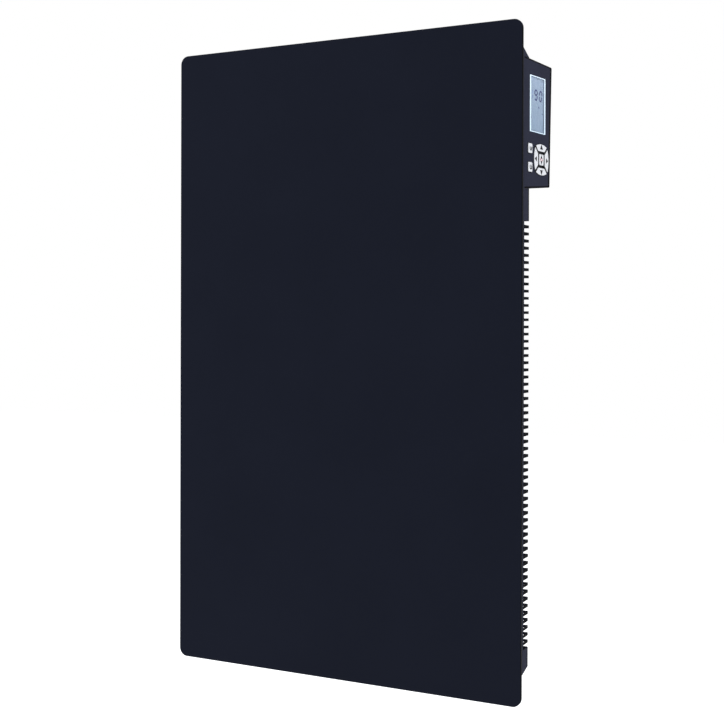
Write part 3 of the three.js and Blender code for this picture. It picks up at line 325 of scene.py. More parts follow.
def turned(profile, place, steps=48):
    """A body turned about its depth axis, from (radius, depth) pairs. A radius of 0 closes it."""
    bm = bmesh.new()
    rings = []
    for radius, depth in profile:
        points = circle(0, 0, radius, steps) if radius else [(0, 0)]
        rings.append([bm.verts.new(place @ Vector((x, y, depth))) for x, y in points])
    hollow = profile[0][0] > 0 and profile[-1][0] > 0
    for a, b in zip(rings, rings[1:] + rings[:1] if hollow else rings[1:]):
        wall(bm, a, b)
    return to_mesh(bm)


def loft(rings):
    """A closed body through rings of points in space."""
    bm = bmesh.new()
    made = [[bm.verts.new(Vector(p)) for p in ring] for ring in rings]
    for a, b in zip(made, made[1:]):
        wall(bm, a, b)
    bm.faces.new(made[0])
    bm.faces.new(made[-1])
    return to_mesh(bm)


def block(x0, y0, z0, x1, y1, z1):
    return prism([rectangle(x0, y0, x1, y1)], z0, z1)


def dome(radius, low, high, step):
    """(radius, depth) pairs of a round head up to its crown, a number of degrees apart."""
    turns = [a * DEGREE for a in range(0, 90, step)]
    return [(radius * cos(a), low + (high - low) * sin(a)) for a in turns] + [(0, high)]


def joined(*meshes):
    """Several meshes as one, without joining their surfaces."""
    bm = bmesh.new()
    for mesh in meshes:
        bm.from_mesh(mesh)
    return to_mesh(bm)


def linked(name, data):
    """An object of the scene that holds the data."""
    made = bpy.data.objects.new(name, data)
    bpy.context.scene.collection.objects.link(made)
    return made


def modified(mesh, kind):
    """An object that holds the mesh, and a new modifier on it."""
    holder = linked("holder", mesh)
    return holder, holder.modifiers.new("change", kind)


def applied(holder):
    """The holder's mesh as its modifier leaves it."""
    graph = bpy.context.evaluated_depsgraph_get()
    result = bpy.data.meshes.new_from_object(holder.evaluated_get(graph))
    bpy.data.objects.remove(holder)
    return result


def combined(mesh, tools, operation="DIFFERENCE"):
    """The mesh cut by tools that don't touch each other, or joined or crossed with them."""
    tool = linked("tool", joined(*tools))
    holder, modifier = modified(mesh, "BOOLEAN")
    modifier.operation = operation
    modifier.solver = "EXACT"
    modifier.object = tool
    result = applied(holder)
    bpy.data.objects.remove(tool)
    return result


def softened(mesh, width, segments):
    """The mesh with its sharp edges rounded."""
    holder, modifier = modified(mesh, "BEVEL")
    modifier.width = width
    modifier.segments = segments
    modifier.limit_method = "ANGLE"
    modifier.angle_limit = 30 * DEGREE
    modifier.use_clamp_overlap = True
    return applied(holder)


def piece(name, mesh, look, replaced=(), body="heater", slot=None):
    """A finished piece: scaled to metres, shaded, given its look, and set on its body."""
    mesh.name = name
    mesh.transform(Matrix.Scale(MM, 4))
    mesh.shade_smooth()
    mesh.set_sharp_from_angle(angle=32 * DEGREE)
    mesh.materials.clear()
    mesh.materials.append(LOOKS[look])
    made = linked(name, mesh)
    made.modifiers.new("flats", "WEIGHTED_NORMAL").keep_sharp = True
    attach(made, body)
    if replaced:
        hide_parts(*replaced)


def finished(node, mesh, look="zinc_steel", body="heater"):
    """The piece that takes the place of one node."""
    piece(f"{node}_finished", mesh, look, [node], body)


# ---- Materials ----


class Graph:
    """A tree of shader nodes."""

    def __init__(self, tree):
        self.nodes = tree.nodes
        self.links = tree.links

    def join(self, start, end):
        self.links.new(start, end)

    def node(self, kind, result, inputs, operation=None):
        """Adds a node and returns one output. Each input is a value or another node's output."""
        made = self.nodes.new(kind)
        if operation:
            made.operation = operation
        for name, value in inputs.items():
            if isinstance(value, bpy.types.NodeSocket):
                self.join(value, made.inputs[name])
            else:
                made.inputs[name].default_value = value
        return made.outputs[result]

    def math(self, operation, *values):
        return self.node("ShaderNodeMath", "Value", dict(enumerate(values)), operation)

    def seen(self):
        """1 for the rays that show a surface to the camera, 0 for those that only carry light."""
        kinds = self.nodes.new("ShaderNodeLightPath").outputs
        direct = self.math("MAXIMUM", kinds["Is Camera Ray"], kinds["Is Glossy Ray"])
        return self.math("MAXIMUM", direct, kinds["Is Transmission Ray"])


class Look(Graph):
    """Builds one procedural material around a Principled shader."""

    def __init__(self, name, roughness=0.5, metallic=0, specular=0.5):
        self.name = name
        self.material = bpy.data.materials.new(name)
        self.material.use_nodes = True
        super().__init__(self.material.node_tree)
        self.shader = self.nodes["Principled BSDF"]
        self.set("Roughness", roughness)
        self.set("Metallic", metallic)
        self.set("Specular IOR Level", specular)
        self.place = self.nodes.new("ShaderNodeTexCoord").outputs["Object"]
        self.height = None

    def set(self, name, value):
        self.shader.inputs[name].default_value = value
        return self

    def stretched(self, x, y, z):
        return self.node("ShaderNodeMapping", "Vector", {"Vector": self.place, "Scale": (x, y, z)})

    def noise(self, scale, detail=3, roughness=0.5, place=None):
        inputs = {"Vector": place or self.place, "Scale": scale, "Detail": detail, "Roughness": roughness}
        return self.node("ShaderNodeTexNoise", "Fac", inputs)

    def cells(self, scale):
        return self.node("ShaderNodeTexVoronoi", "Distance", {"Vector": self.place, "Scale": scale})

    def ranged(self, value, low, high, to_low, to_high):
        inputs = {"Value": value, "From Min": low, "From Max": high, "To Min": to_low, "To Max": to_high}
        return self.node("ShaderNodeMapRange", "Result", inputs)

    def ramp(self, value, *stops):
        node = self.nodes.new("ShaderNodeValToRGB")
        elements = node.color_ramp.elements
        while len(elements) < len(stops):
            elements.new(1)
        for element, (position, colour) in zip(elements, stops):
            element.position = position
            element.color = (*colour, 1)
        self.join(value, node.inputs["Fac"])
        return node.outputs["Color"]

    def colour(self, output):
        self.tone = output
        self.join(output, self.shader.inputs["Base Color"])
        return self

    def along(self, x, y, z):
        """Distance in metres along a direction, from the middle of the frame."""
        return self.node("ShaderNodeVectorMath", "Value", {0: self.place, 1: (x, y, z)}, "DOT_PRODUCT")

    def past(self, value, limit, fade):
        """Rises from 0 to 1 where the value passes a limit in millimetres."""
        return self.ranged(value, (limit - fade) * MM, limit * MM, 0, 1)

    def shaded(self, mask, least):
        """Darkens the colour where the mask is 1."""
        value = self.ranged(mask, 0, 1, 1, least)
        inputs = {"Value": value, "Color": self.tone}
        return self.colour(self.node("ShaderNodeHueSaturation", "Color", inputs))

    def mottled(self, colour, spread, scale, detail=3):
        """The colour, a little darker and lighter in patches."""
        dark = tuple(c * (1 - spread) for c in colour)
        light = tuple(min(c * (1 + spread), 1) for c in colour)
        return self.colour(self.ramp(self.noise(scale, detail), (0.32, dark), (0.68, light)))

    def rough(self, low, high, scale, detail=2, place=None):
        value = self.noise(scale, detail, place=place)
        self.join(self.ranged(value, 0.3, 0.7, low, high), self.shader.inputs["Roughness"])
        return self

    def bump(self, value, distance, strength):
        """Relief of the given height in millimetres. Several are laid over each other."""
        inputs = {"Height": value, "Distance": distance * MM, "Strength": strength}
        if self.height:
            inputs["Normal"] = self.height
        self.height = self.node("ShaderNodeBump", "Normal", inputs)
        self.join(self.height, self.shader.inputs["Normal"])
        return self


def srgb(*levels):
    """Linear colour of 0 to 255 display levels."""
    return tuple(((v / 255 + 0.055) / 1.055) ** 2.4 if v > 10 else v / 255 / 12.92 for v in levels)


CASING_COLOUR = srgb(36, 38, 51)


def enamelled_glass():
    look = Look("enamelled_glass", 0.34, specular=0.015)
    look.mottled(srgb(27, 30, 41), 0.04, 9, 4)
    across = look.along(1, 0, 0)
    # Painted shade: the panel darkens towards its right side, where less light falls.
    look.shaded(look.ranged(across, -PANEL_HALF * MM, PANEL_HALF * MM, 0, 1), 0.86)
    # Painted shade: the panel's side edges are darkened almost to black.
    look.shaded(look.past(look.math("ABSOLUTE", across), PANEL_HALF - 0.3, 0.5), 0.05)
    look.rough(0.3, 0.38, 60, 3)
    look.bump(look.noise(1400, 2), 0.01, 0.25)
    return look.bump(look.noise(14, 1), 0.12, 0.2)


def powder_coat_with_shade():
    """Orange-peel paint with a fine speckle, with painted shade darkening the sides' bars and rear bend."""
    look = Look("painted_steel", 0.55, specular=0.015)
    look.mottled(CASING_COLOUR, 0.1, 900, 2)
    depth, height = look.along(0, 1, 0), look.along(0, 0, 1)
    side = look.past(look.math("ABSOLUTE", look.along(1, 0, 0)), CASING_HALF - 1.2, 0.3)
    first, last = SLOT_HEIGHTS[0] - SLOT_HEIGHT / 2, SLOT_HEIGHTS[-1] + SLOT_HEIGHT / 2
    slotted = look.math("SUBTRACT", look.past(height, first, 0.5), look.past(height, last, 0.5))
    bars = look.math("MULTIPLY", slotted, look.past(depth, CASING_FRONT + SLOT_FRONT_LAND, 0.4))
    bend = look.past(depth, CASING_REAR - 4, 1.2)
    # Painted shade: the bars between the side slots and the rear bend are darkened almost to black.
    look.shaded(look.math("MULTIPLY", side, look.math("MAXIMUM", bars, bend)), 0.06)
    look.rough(0.5, 0.64, 300)
    return look.bump(look.noise(650, 1), 0.03, 0.5)


def moulded(name, colour, spread=0.05, specular=0.02, grain=1800, roughness=0.52):
    """Plastic with the texture of a spark-eroded mould."""
    look = Look(name, roughness, specular=specular)
    look.mottled(colour, spread, 40, 4)
    look.rough(roughness - 0.05, roughness + 0.07, 500)
    return look.bump(look.cells(grain), 0.02, 0.45)


def face_plastic_edge_shade():
    """The control face, with painted shade darkening its rounded outer edges."""
    look = moulded("face_plastic_edge_shade", CASING_COLOUR)
    rear = look.past(look.along(0, 1, -LEAN), BOX_REAR_TOP_Y - LEAN * BOX_TOP_REAR - 4, 1.4)
    low = look.past(look.along(0, RISE, -1), RISE * BOX_FRONT_Y - BOX_BOTTOM - 1.8, 0.8)
    high = look.past(look.along(0, FALL, 1), FALL * BOX_FRONT_Y + BOX_TOP - 1.6, 0.8)
    # Painted shade along the face's rear, lower and upper edges.
    return look.shaded(look.math("MAXIMUM", rear, look.math("MAXIMUM", low, high)), 0.1)


def rubber():
    look = Look("black_rubber", 0.75, specular=0.25)
    look.mottled(srgb(24, 25, 28), 0.2, 120, 5)
    look.rough(0.68, 0.85, 350)
    return look.bump(look.noise(900, 4), 0.03, 0.5)


def key_paint():
    """Silver paint: fine flakes under a satin lacquer, with painted shade darkening the keys' rims and
    sides.
    """
    look = Look("key_plastic", 0.42, specular=0.4)
    look.mottled(srgb(200, 202, 207), 0.07, 2600, 1)
    crown = FACE_START_X * FACE_COS - PANEL_BACK * FACE_SIN + KEY_PROUD
    # Painted shade: the keys' rims and sides, below their crowns, are darkened.
    look.shaded(look.past(look.along(-FACE_COS, FACE_SIN, 0), 0.12 - crown, 0.1), 0.1)
    look.rough(0.36, 0.5, 900)
    return look.bump(look.cells(2400), 0.008, 0.4)


def zinc():
    """Rolled, zinc plated steel: long draw lines over a patchy bloom."""
    look = Look("zinc_steel", 0.42, metallic=1)
    look.mottled((0.42, 0.43, 0.45), 0.07, 70, 5)
    look.rough(0.39, 0.47, 110, 5)
    return look.bump(look.noise(260, 3, place=look.stretched(5, 5, 0.25)), 0.02, 0.3)


def brushed(name, colour, low, high):
    look = Look(name, 0.35, metallic=1)
    look.mottled(colour, 0.1, 24, 5)
    look.rough(low, high, 220, 4, place=look.stretched(1, 1, 12))
    return look.bump(look.noise(300, 2, place=look.stretched(1, 1, 14)), 0.01, 0.3)


def mica():
    look = Look("mica")
    flakes = look.cells(160)
    stops = (0, srgb(205, 190, 158)), (0.5, srgb(185, 168, 134)), (1, srgb(150, 130, 98))
    look.colour(look.ramp(flakes, *stops))
    look.rough(0.35, 0.6, 90)
    return look.bump(flakes, 0.05, 0.4)


def fibre():
    look = Look("fibre", 0.95, specular=0.1)
    look.mottled(srgb(224, 221, 210), 0.08, 180, 6)
    return look.bump(look.noise(420, 6, 0.7), 0.4, 0.8)


def circuit_board():
    """Solder resist over copper tracks."""
    look = Look("circuit_board", 0.4)
    tracks = look.nodes.new("ShaderNodeTexBrick")
    tracks.inputs["Scale"].default_value = 90
    tracks.inputs["Mortar Size"].default_value = 0.06
    for name, colour in ("Color1", (24, 70, 46)), ("Color2", (30, 80, 52)), ("Mortar", (58, 118, 74)):
        tracks.inputs[name].default_value = (*srgb(*colour), 1)
    look.join(look.stretched(1, 1, 1.6), tracks.inputs["Vector"])
    look.colour(tracks.outputs["Color"])
    look.rough(0.32, 0.46, 200)
    return look.bump(tracks.outputs["Fac"], 0.03, 0.6)


def clear_plastic():
    look = Look("clear_plastic", 0.08, specular=0.05)
    look.mottled(srgb(232, 240, 248), 0.02, 50)
    look.rough(0.05, 0.12, 120)
    return look.set("Alpha", 0.04)


def lit_panel(name, upper, lower, glow, spread):
    """A backlit face, paler at its top."""
    look = Look(name, 0.45, specular=0.2)
    height = look.ranged(look.along(0, 0, 1), DISPLAY_BOTTOM * MM, DISPLAY_TOP * MM, 0, 1)
    wander = look.ranged(look.noise(30, 3), 0.3, 0.7, -spread * 3, spread * 3)
    look.colour(look.ramp(look.math("ADD", height, wander), (0, lower), (1, upper)))
    look.join(look.tone, look.shader.inputs["Emission Color"])
    look.rough(0.4, 0.5, 300)
    return look.set("Emission Strength", glow)


def ink(name, colour):
    look = Look(name, 0.6, specular=0.15)
    look.mottled(colour, 0.08, 1500)
    return look.bump(look.noise(2500), 0.004, 0.4)


MOULDED = {  # colour, its spread, specular level, grain, roughness
    "dark_plastic": (CASING_COLOUR,),
    "black_plastic": (srgb(20, 21, 26), 0.05, 0.2),
    "white_plastic": (srgb(228, 240, 250), 0.03, 0.3, 1500, 0.45),
    "relay_case": (srgb(42, 95, 158), 0.05, 0.4, 2200, 0.35),
    "transformer_tape": (srgb(201, 164, 58), 0.08, 0.4, 700, 0.45),
    "live_sleeve": (srgb(107, 63, 37), 0.05, 0.4, 1500, 0.45),
    "neutral_sleeve": (srgb(47, 95, 154), 0.05, 0.4, 1500, 0.45),
}
BRUSHED = {  # colour, lowest and highest roughness
    "aluminium": ((0.6, 0.61, 0.62), 0.28, 0.45),
    "foil": ((0.3, 0.28, 0.25), 0.25, 0.4),
    "brass": ((0.55, 0.4, 0.14), 0.25, 0.4),
}
INKS = {
    "key_ink": srgb(9, 9, 13),
    "ok_ink": srgb(158, 78, 88),
    "segment_ink": srgb(10, 24, 92),
    "ghost_ink": srgb(108, 128, 168),
}
MADE_LOOKS = [
    enamelled_glass(), powder_coat_with_shade(), face_plastic_edge_shade(), rubber(), key_paint(), zinc(), mica(), fibre(),
    circuit_board(), clear_plastic(),
    lit_panel("display_face", srgb(132, 150, 174), srgb(108, 130, 154), 0.03, 0.06),
    lit_panel("bezel_glow", srgb(216, 232, 246), srgb(205, 225, 242), 0.1, 0.01),
    *(moulded(name, *settings) for name, settings in MOULDED.items()),
    *(brushed(name, *settings) for name, settings in BRUSHED.items()),
    *(ink(name, colour) for name, colour in INKS.items()),
]
LOOKS = {look.name: look.material for look in MADE_LOOKS}

for part in frame["record"]["subparts"]:
    node = frame["nodes"][part["node"]]
    node.data.materials.clear()
    node.data.materials.append(LOOKS[part["material_slot"]])

# ---- Front panel ----


def front_glass():
    outline = rectangle(-PANEL_HALF, -PANEL_TOP, PANEL_HALF, PANEL_TOP, PANEL_CORNER, 16)
    profile = edge_profile(-PANEL_BACK, -PANEL_FRONT, PANEL_EDGE / 2, PANEL_EDGE, 5)
    mesh = plate([outline], profile, FRONT_VIEW)
    piece("front_glass", mesh, "enamelled_glass", ["front_panel"])


# ---- Casing ----


def casing_ring(y, shrink):
    """One ring of the casing at depth y, seen from the front and shrunk inwards."""
    share = (y - CASING_FRONT) / (CASING_REAR - CASING_FRONT)
    half = CASING_HALF - tan(CASING_DRAFT) * (y - CASING_FRONT) - shrink
    top = CASING_TOP - CASING_TOP_FALL * share - shrink
    bottom = CASING_BOTTOM + CASING_BOTTOM_RISE * share + shrink
    return [(x, y, z) for x, z in rectangle(-half, bottom, half, top, CASING_CORNER, 5)]


def casing_block(front, rear, bend, shrink):
    profile = edge_profile(front, rear, 0, bend, 8)
    return loft([casing_ring(y, shrink + amount) for amount, y in profile])


def side_prism(outline, side, near, far):
    """A prism towards one side of the heater, between two distances from its middle."""
    return prism([outline], *sorted((side * near, side * far)), SIDE_VIEW)


def side_slot(side, z):
    """A slot's cutting tool, its front corners a little round."""
    front, rear = CASING_FRONT + CASING_SHEET + SLOT_FRONT_LAND, CASING_REAR + OVER
    low, high = z - SLOT_HEIGHT / 2, z + SLOT_HEIGHT / 2
    outline = rounded_rectangle(front, low, rear, high, [0.6, 0, 0, 0.6], 3)
    return side_prism(outline, side, CASING_HALF - SLOT_WRAP, CASING_HALF + OVER)


def hook_slot(side, z):
    x0, x1 = sorted((side * (UPRIGHT_OUTER - BRACKET_SHEET - SEAT), side * (UPRIGHT_OUTER + SEAT)))
    top = z + HOOK_NECK / 2 + SEAT
    bottom = top - HOOK_NECK - HOOK_LIP - HOOK_PLAY
    return block(x0, CASING_INSIDE - OVER, bottom, x1, CASING_REAR + OVER, top)


def bore(x, z, diameter, front, rear):
    """A round cutting tool through what lies between two depths."""
    return prism([circle(x, z, diameter / 2, 32)], -rear - OVER, OVER - front, FRONT_VIEW)


def post(x, y, diameter, low, high, place):
    return prism([circle(x, y, diameter / 2, 24)], low, high, place)


def box_side(offset, front, rear):
    """The control box seen from its side, as (y, z), grown by an offset."""
    low = [(y, BOX_BOTTOM + RISE * (y - BOX_FRONT_Y) - offset) for y in (front, rear)]
    high = [(y, BOX_TOP - FALL * (y - BOX_FRONT_Y) + offset) for y in (rear, front)]
    return low + high


def rear_casing():
    outer = casing_block(CASING_FRONT, CASING_REAR, CASING_BEND, 0)
    inside_bend = CASING_BEND - CASING_SHEET
    inside = casing_block(CASING_FRONT + CASING_SHEET, CASING_INSIDE, inside_bend, CASING_SHEET)
    half = CASING_HALF - CASING_FLANGE
    mouth = block(
        -half, CASING_FRONT - OVER, CASING_BOTTOM + CASING_FLANGE,
        half, CASING_FRONT + 1.5 * CASING_SHEET, CASING_TOP - CASING_FLANGE,
    )
    shell = combined(combined(outer, [inside]), [mouth])
    opening = box_side(SEAT, BOX_FRONT_Y - SEAT, CASING_REAR + OVER)
    tools = [prism([opening], TONGUE_X - SEAT, PANEL_HALF + OVER, SIDE_VIEW)]
    for side in (-1, 1):
        tools += [side_slot(side, z) for z in SLOT_HEIGHTS]
        tools += [hook_slot(side, HOOK_Z), hook_slot(side, -HOOK_Z)]
    screws = [centre_of(name)[::2] for name in RAIL_SCREWS] + [(LUG_SCREW_X, z) for z in LUG_HEIGHTS]
    tools += [bore(x, z, SCREW_SHANK + 2 * SEAT, CASING_INSIDE, CASING_REAR) for x, z in screws]
    tools.append(bore(GROMMET_X, GROMMET_Z, GROMMET_NECK + 2 * SEAT, CASING_INSIDE, CASING_REAR))
    piece("casing_shell", combined(shell, tools), "painted_steel", ["rear_casing"])


# ---- Screws ----

HANDS = {"left": -1, "right": 1}
RAIL_SCREWS = [f"rail_screw_{place}_{hand}" for place in ("top", "middle", "bottom") for hand in HANDS]


def screw(node):
    """Pan-head screw with a cross recess, its head towards the wall."""
    low, high = cad(node)
    x, _, z = centre_of(node)
    head = high.y - SCREW_HEAD_HEIGHT
    place = towards_wall(x, head, z)
    shank, half = SCREW_SHANK / 2, SCREW_HEAD / 2
    tip, rim, arm, reach, sink = low.y - head, 0.15, 0.55, 2.1, 1.3
    profile = [(0, tip), (shank * 0.7, tip), (shank, tip + 0.6), (shank, 0), (half - rim, 0), (half, rim)]
    profile += dome(half, 0.9, SCREW_HEAD_HEIGHT, 12)
    body = turned(profile, place, 40)
    depths = [(0.35, SCREW_HEAD_HEIGHT - sink), (0, SCREW_HEAD_HEIGHT + 1)]
    for wide, high in ((reach, arm), (arm, reach)):
        body = combined(body, [plate([rectangle(-wide, -high, wide, high)], depths, place)])
    finished(node, body)


# ---- Control box ----


def face_x(y, out):
    """X of the control face, or of a plane the given distance out of it."""
    return FACE_START_X + (out + FACE_SIN * (y - PANEL_BACK)) / FACE_COS


def box_outline(offset):
    """The box seen from its side with its rear edge as steep as the real one."""
    front = BOX_FRONT_Y - offset
    return [
        (front, BOX_BOTTOM - (1 + RISE) * offset),
        (BOX_REAR_BOTTOM_Y + (1 - LEAN) * offset, BOX_BOTTOM_REAR - (1 - RISE) * offset),
        (BOX_REAR_TOP_Y + (1 + LEAN) * offset, BOX_TOP_REAR + (1 - FALL) * offset),
        (front, BOX_TOP + (1 + FALL) * offset),
    ]


def box_plan(offset, out):
    """The box seen from above: a body behind the casing and a tongue that dips into it."""
    front, step, rear = BOX_FRONT_Y - offset, BOX_STEP_Y - offset, BOX_REAR_TOP_Y + offset
    return [
        (face_x(front, out), front), (face_x(rear, out), rear), (BOX_INNER_X - offset, rear),
        (BOX_INNER_X - offset, step), (TONGUE_X - offset, step), (TONGUE_X - offset, front),
    ]


def crossed(plan, side):
    """What lies inside both the box's plan and its outline from the side."""
    body = prism([plan], BOX_BOTTOM - OVER, BOX_TOP + OVER)
    right = PANEL_HALF + 72  # well past the control face
    return combined(body, [prism([side], BOX_INNER_X - OVER, right, SIDE_VIEW)], "INTERSECT")


def lug(z):
    x0, x1 = BOX_INNER_X + BOX_WALL / 2, BOX_INNER_X - LUG_LENGTH
    low, high = z - LUG_WIDTH / 2, z + LUG_WIDTH / 2
    outline = rounded([(x0, low), (x0, high), (x1, high), (x1, low)], [0, 0, 4, 4], 8)
    profile = edge_profile(-BOX_STEP_Y - LUG_THICKNESS, -BOX_STEP_Y, 0.5, 0, 3)
    return plate([outline], profile, FRONT_VIEW)


def grid(x0, x1, y0, y1, margin):
    """Four points inside a rectangle's corners."""
    return [(x, y) for x in (x0 + margin, x1 - margin) for y in (y0 + margin, y1 - margin)]


def vent(x, y):
    """The cutting tool of a slot in the box's floor."""
    outline = rectangle(x - 6, y - 1, x + 6, y + 1, 0.98, 6)
    return prism([outline], BOX_BOTTOM - OVER, BOX_BOTTOM_REAR + BOX_WALL + OVER)


def control_housing():
    side = rounded(box_outline(0), [0, BOX_CORNER, BOX_CORNER, 0], 8)
    outer = softened(crossed(box_plan(0, RIM_OUT), side), BOX_EDGE, 4)
    body = combined(outer, [crossed(box_plan(-BOX_WALL, OVER), box_outline(-BOX_WALL))])
    low, high = cad("power_board")
    foot, end = BOX_INNER_X + BOX_WALL / 2, low.x - SEAT
    corners = grid(low.y, high.y, low.z, high.z, POST_INSET)
    posts = [post(y, z, POST_DIAMETER, foot, end, SIDE_VIEW) for y, z in corners]
    body = combined(body, [lug(z) for z in LUG_HEIGHTS] + posts, "UNION")
    x, y = (BOX_INNER_X + PANEL_HALF) / 2, (BOX_STEP_Y + BOX_REAR_BOTTOM_Y) / 2
    tools = [vent(x, y + shift) for shift in (-7.5, -2.5, 2.5, 7.5)]
    inlet = circle(INLET_Y, INLET_Z, 6 + SEAT, 40)
    tools.append(prism([inlet], BOX_INNER_X - OVER, BOX_INNER_X + BOX_WALL + OVER, SIDE_VIEW))
    hole, lug_rear = SCREW_SHANK + 2 * SEAT, BOX_STEP_Y + LUG_THICKNESS
    tools += [bore(LUG_SCREW_X, z, hole, BOX_STEP_Y, lug_rear) for z in LUG_HEIGHTS]
    tools.append(bore(GROMMET_X, GROMMET_Z, GROMMET_NECK + 2 * SEAT, BOX_STEP_Y, BOX_STEP_Y + BOX_WALL))
    piece("housing_shell", combined(body, tools), "dark_plastic", ["control_housing"])


def on_face(node):
    """Corners of a node's box in the control face's own frame."""
    shape = frame["nodes"][node]
    to_face = FACE.inverted() @ Matrix.Scale(1 / MM, 4) @ shape.matrix_world
    points = [to_face @ vertex.co for vertex in shape.data.vertices]
    return Vector(map(min, zip(*points))), Vector(map(max, zip(*points)))


def small_key_outline(z, fit):
    w, h = SMALL_KEY_WIDTH / 2 + fit, SMALL_KEY_HEIGHT / 2 + fit
    return rectangle(SMALL_KEY_X - w, z - h, SMALL_KEY_X + w, z + h, KEY_CORNER + fit, 8)


def display_outline(amount):
    return rectangle(
        DISPLAY_FRONT + amount, DISPLAY_BOTTOM + amount, DISPLAY_REAR - amount, DISPLAY_TOP - amount,
        max(1 - amount, 0.2), 5,
    )


def pad_arc(radius, beside_diagonal, cut=0):
    """Outer edge of a ring key that lies towards x, between lines beside the diagonals."""
    centre = PAD_RADIUS - PAD_ARC_RADIUS
    root = sqrt(2 * radius**2 - (centre - beside_diagonal) ** 2)
    x = (centre + beside_diagonal + root) / 2
    spread = atan2(x - beside_diagonal, x - centre) - cut / radius
    return arc(centre, 0, radius, -spread, spread, 20)


def turned_on_pad(points, step_x, step_z):
    return [(PAD_X + x * step_x - y * step_z, PAD_Z + x * step_z + y * step_x) for x, y in points]


def eased(before, corner, after, reach):
    """A soft corner that starts and ends the given reach away from the sharp one."""
    corner = Vector(corner)
    start = corner + (Vector(before) - corner).normalized() * reach
    end = corner + (Vector(after) - corner).normalized() * reach
    shares = (0, 0.25, 0.5, 0.75, 1)
    return [tuple(start.lerp(corner, t).lerp(corner.lerp(end, t), t)) for t in shares]


def pad_key_outline(step_x, step_z, inner):
    """A quarter of the ring, cut straight on its inner side."""
    beside_diagonal = PAD_SPLIT * sqrt(0.5)
    side = inner - beside_diagonal
    low, *_, high = pad_arc(PAD_ARC_RADIUS, beside_diagonal)
    outer = pad_arc(PAD_ARC_RADIUS, beside_diagonal, 1.4)
    points = [
        *outer[1:-1],
        *eased(outer[-1], high, (inner, side), 1.4),
        *eased(high, (inner, side), (inner, -side), 0.7),
        *eased((inner, side), (inner, -side), low, 0.7),
        *eased((inner, -side), low, outer[0], 1.4),
    ]
    return turned_on_pad(points, step_x, step_z)


def pad_hole_outline():
    edge = pad_arc(PAD_ARC_RADIUS + KEY_FIT, 0)[:-1]
    sides = [(1, 0), (0, 1), (-1, 0), (0, -1)]
    return [point for step in sides for point in turned_on_pad(edge, *step)]


def control_fascia():
    corners = [
        (FACE_FRONT, BOX_BOTTOM), (FACE_REAR_BOTTOM, BOX_BOTTOM_REAR),
        (FACE_REAR_TOP, BOX_TOP_REAR), (FACE_FRONT, BOX_TOP),
    ]
    rim = rounded(corners, [0, 2, 2, 0], 8)
    holes = [display_outline(0), pad_hole_outline()]
    holes += [small_key_outline(z, KEY_FIT) for z in SMALL_KEY_HEIGHTS.values()]
    mesh = plate([rim, *holes], edge_profile(-FASCIA_THICKNESS, 0, 0, 0.35, 4), FACE)
    low, high = on_face("display_board")
    foot, end = high.z + SEAT, -FASCIA_THICKNESS / 2
    corners = grid(low.x, high.x, low.y, high.y, BOSS_INSET)
    mesh = combined(mesh, [post(x, z, BOSS_DIAMETER, foot, end, FACE) for x, z in corners], "UNION")
    piece("fascia_plate", mesh, "face_plastic_edge_shade", ["control_fascia"], slot="dark_plastic")


# ---- Display ----

SEGMENTS = {"0": "abcdef", "9": "abcdfg", "1": "bc"}
DISPLAY_DOTS = [(44.7, 313.8, 1.3), (53.5, 306.9, 1), (24.9, 299.7, 0.9)]  # place and radius
DIGIT_TOP, DIGIT_BOTTOM = 335.3, 321.3
STROKE = 2.3
DIGIT_SLANT = 0.05


def digit_segments(digit, left, right):
    """Outlines of a seven-segment digit's lit segments."""
    middle = (DIGIT_TOP + DIGIT_BOTTOM) / 2
    h, gap = STROKE / 2, 0.25
    left, right, top, bottom = left + h, right - h, DIGIT_TOP - h, DIGIT_BOTTOM + h

    def bar(x0, y0, x1, y1):
        start, end = Vector((x0, y0)), Vector((x1, y1))
        along = (end - start).normalized()
        across = Vector((-along.y, along.x)) * h
        start, end = start + along * gap, end - along * gap
        near, far = start + along * h, end - along * h
        points = [start, near - across, far - across, end, far + across, near + across]
        return [(p.x + DIGIT_SLANT * (p.y - middle), p.y) for p in points]

    bars = {
        "a": bar(left, top, right, top), "b": bar(right, middle, right, top),
        "c": bar(right, bottom, right, middle), "d": bar(left, bottom, right, bottom),
        "e": bar(left, bottom, left, middle), "f": bar(left, middle, left, top),
        "g": bar(left, middle, right, middle),
    }
    return [bars[s] for s in SEGMENTS[digit]]


def flat_marks(name, outlines, low, high, look, **seat):
    """Thin printed marks on the control face, as one piece."""
    piece(name, joined(*(prism([o], low, high, FACE) for o in outlines)), look, **seat)


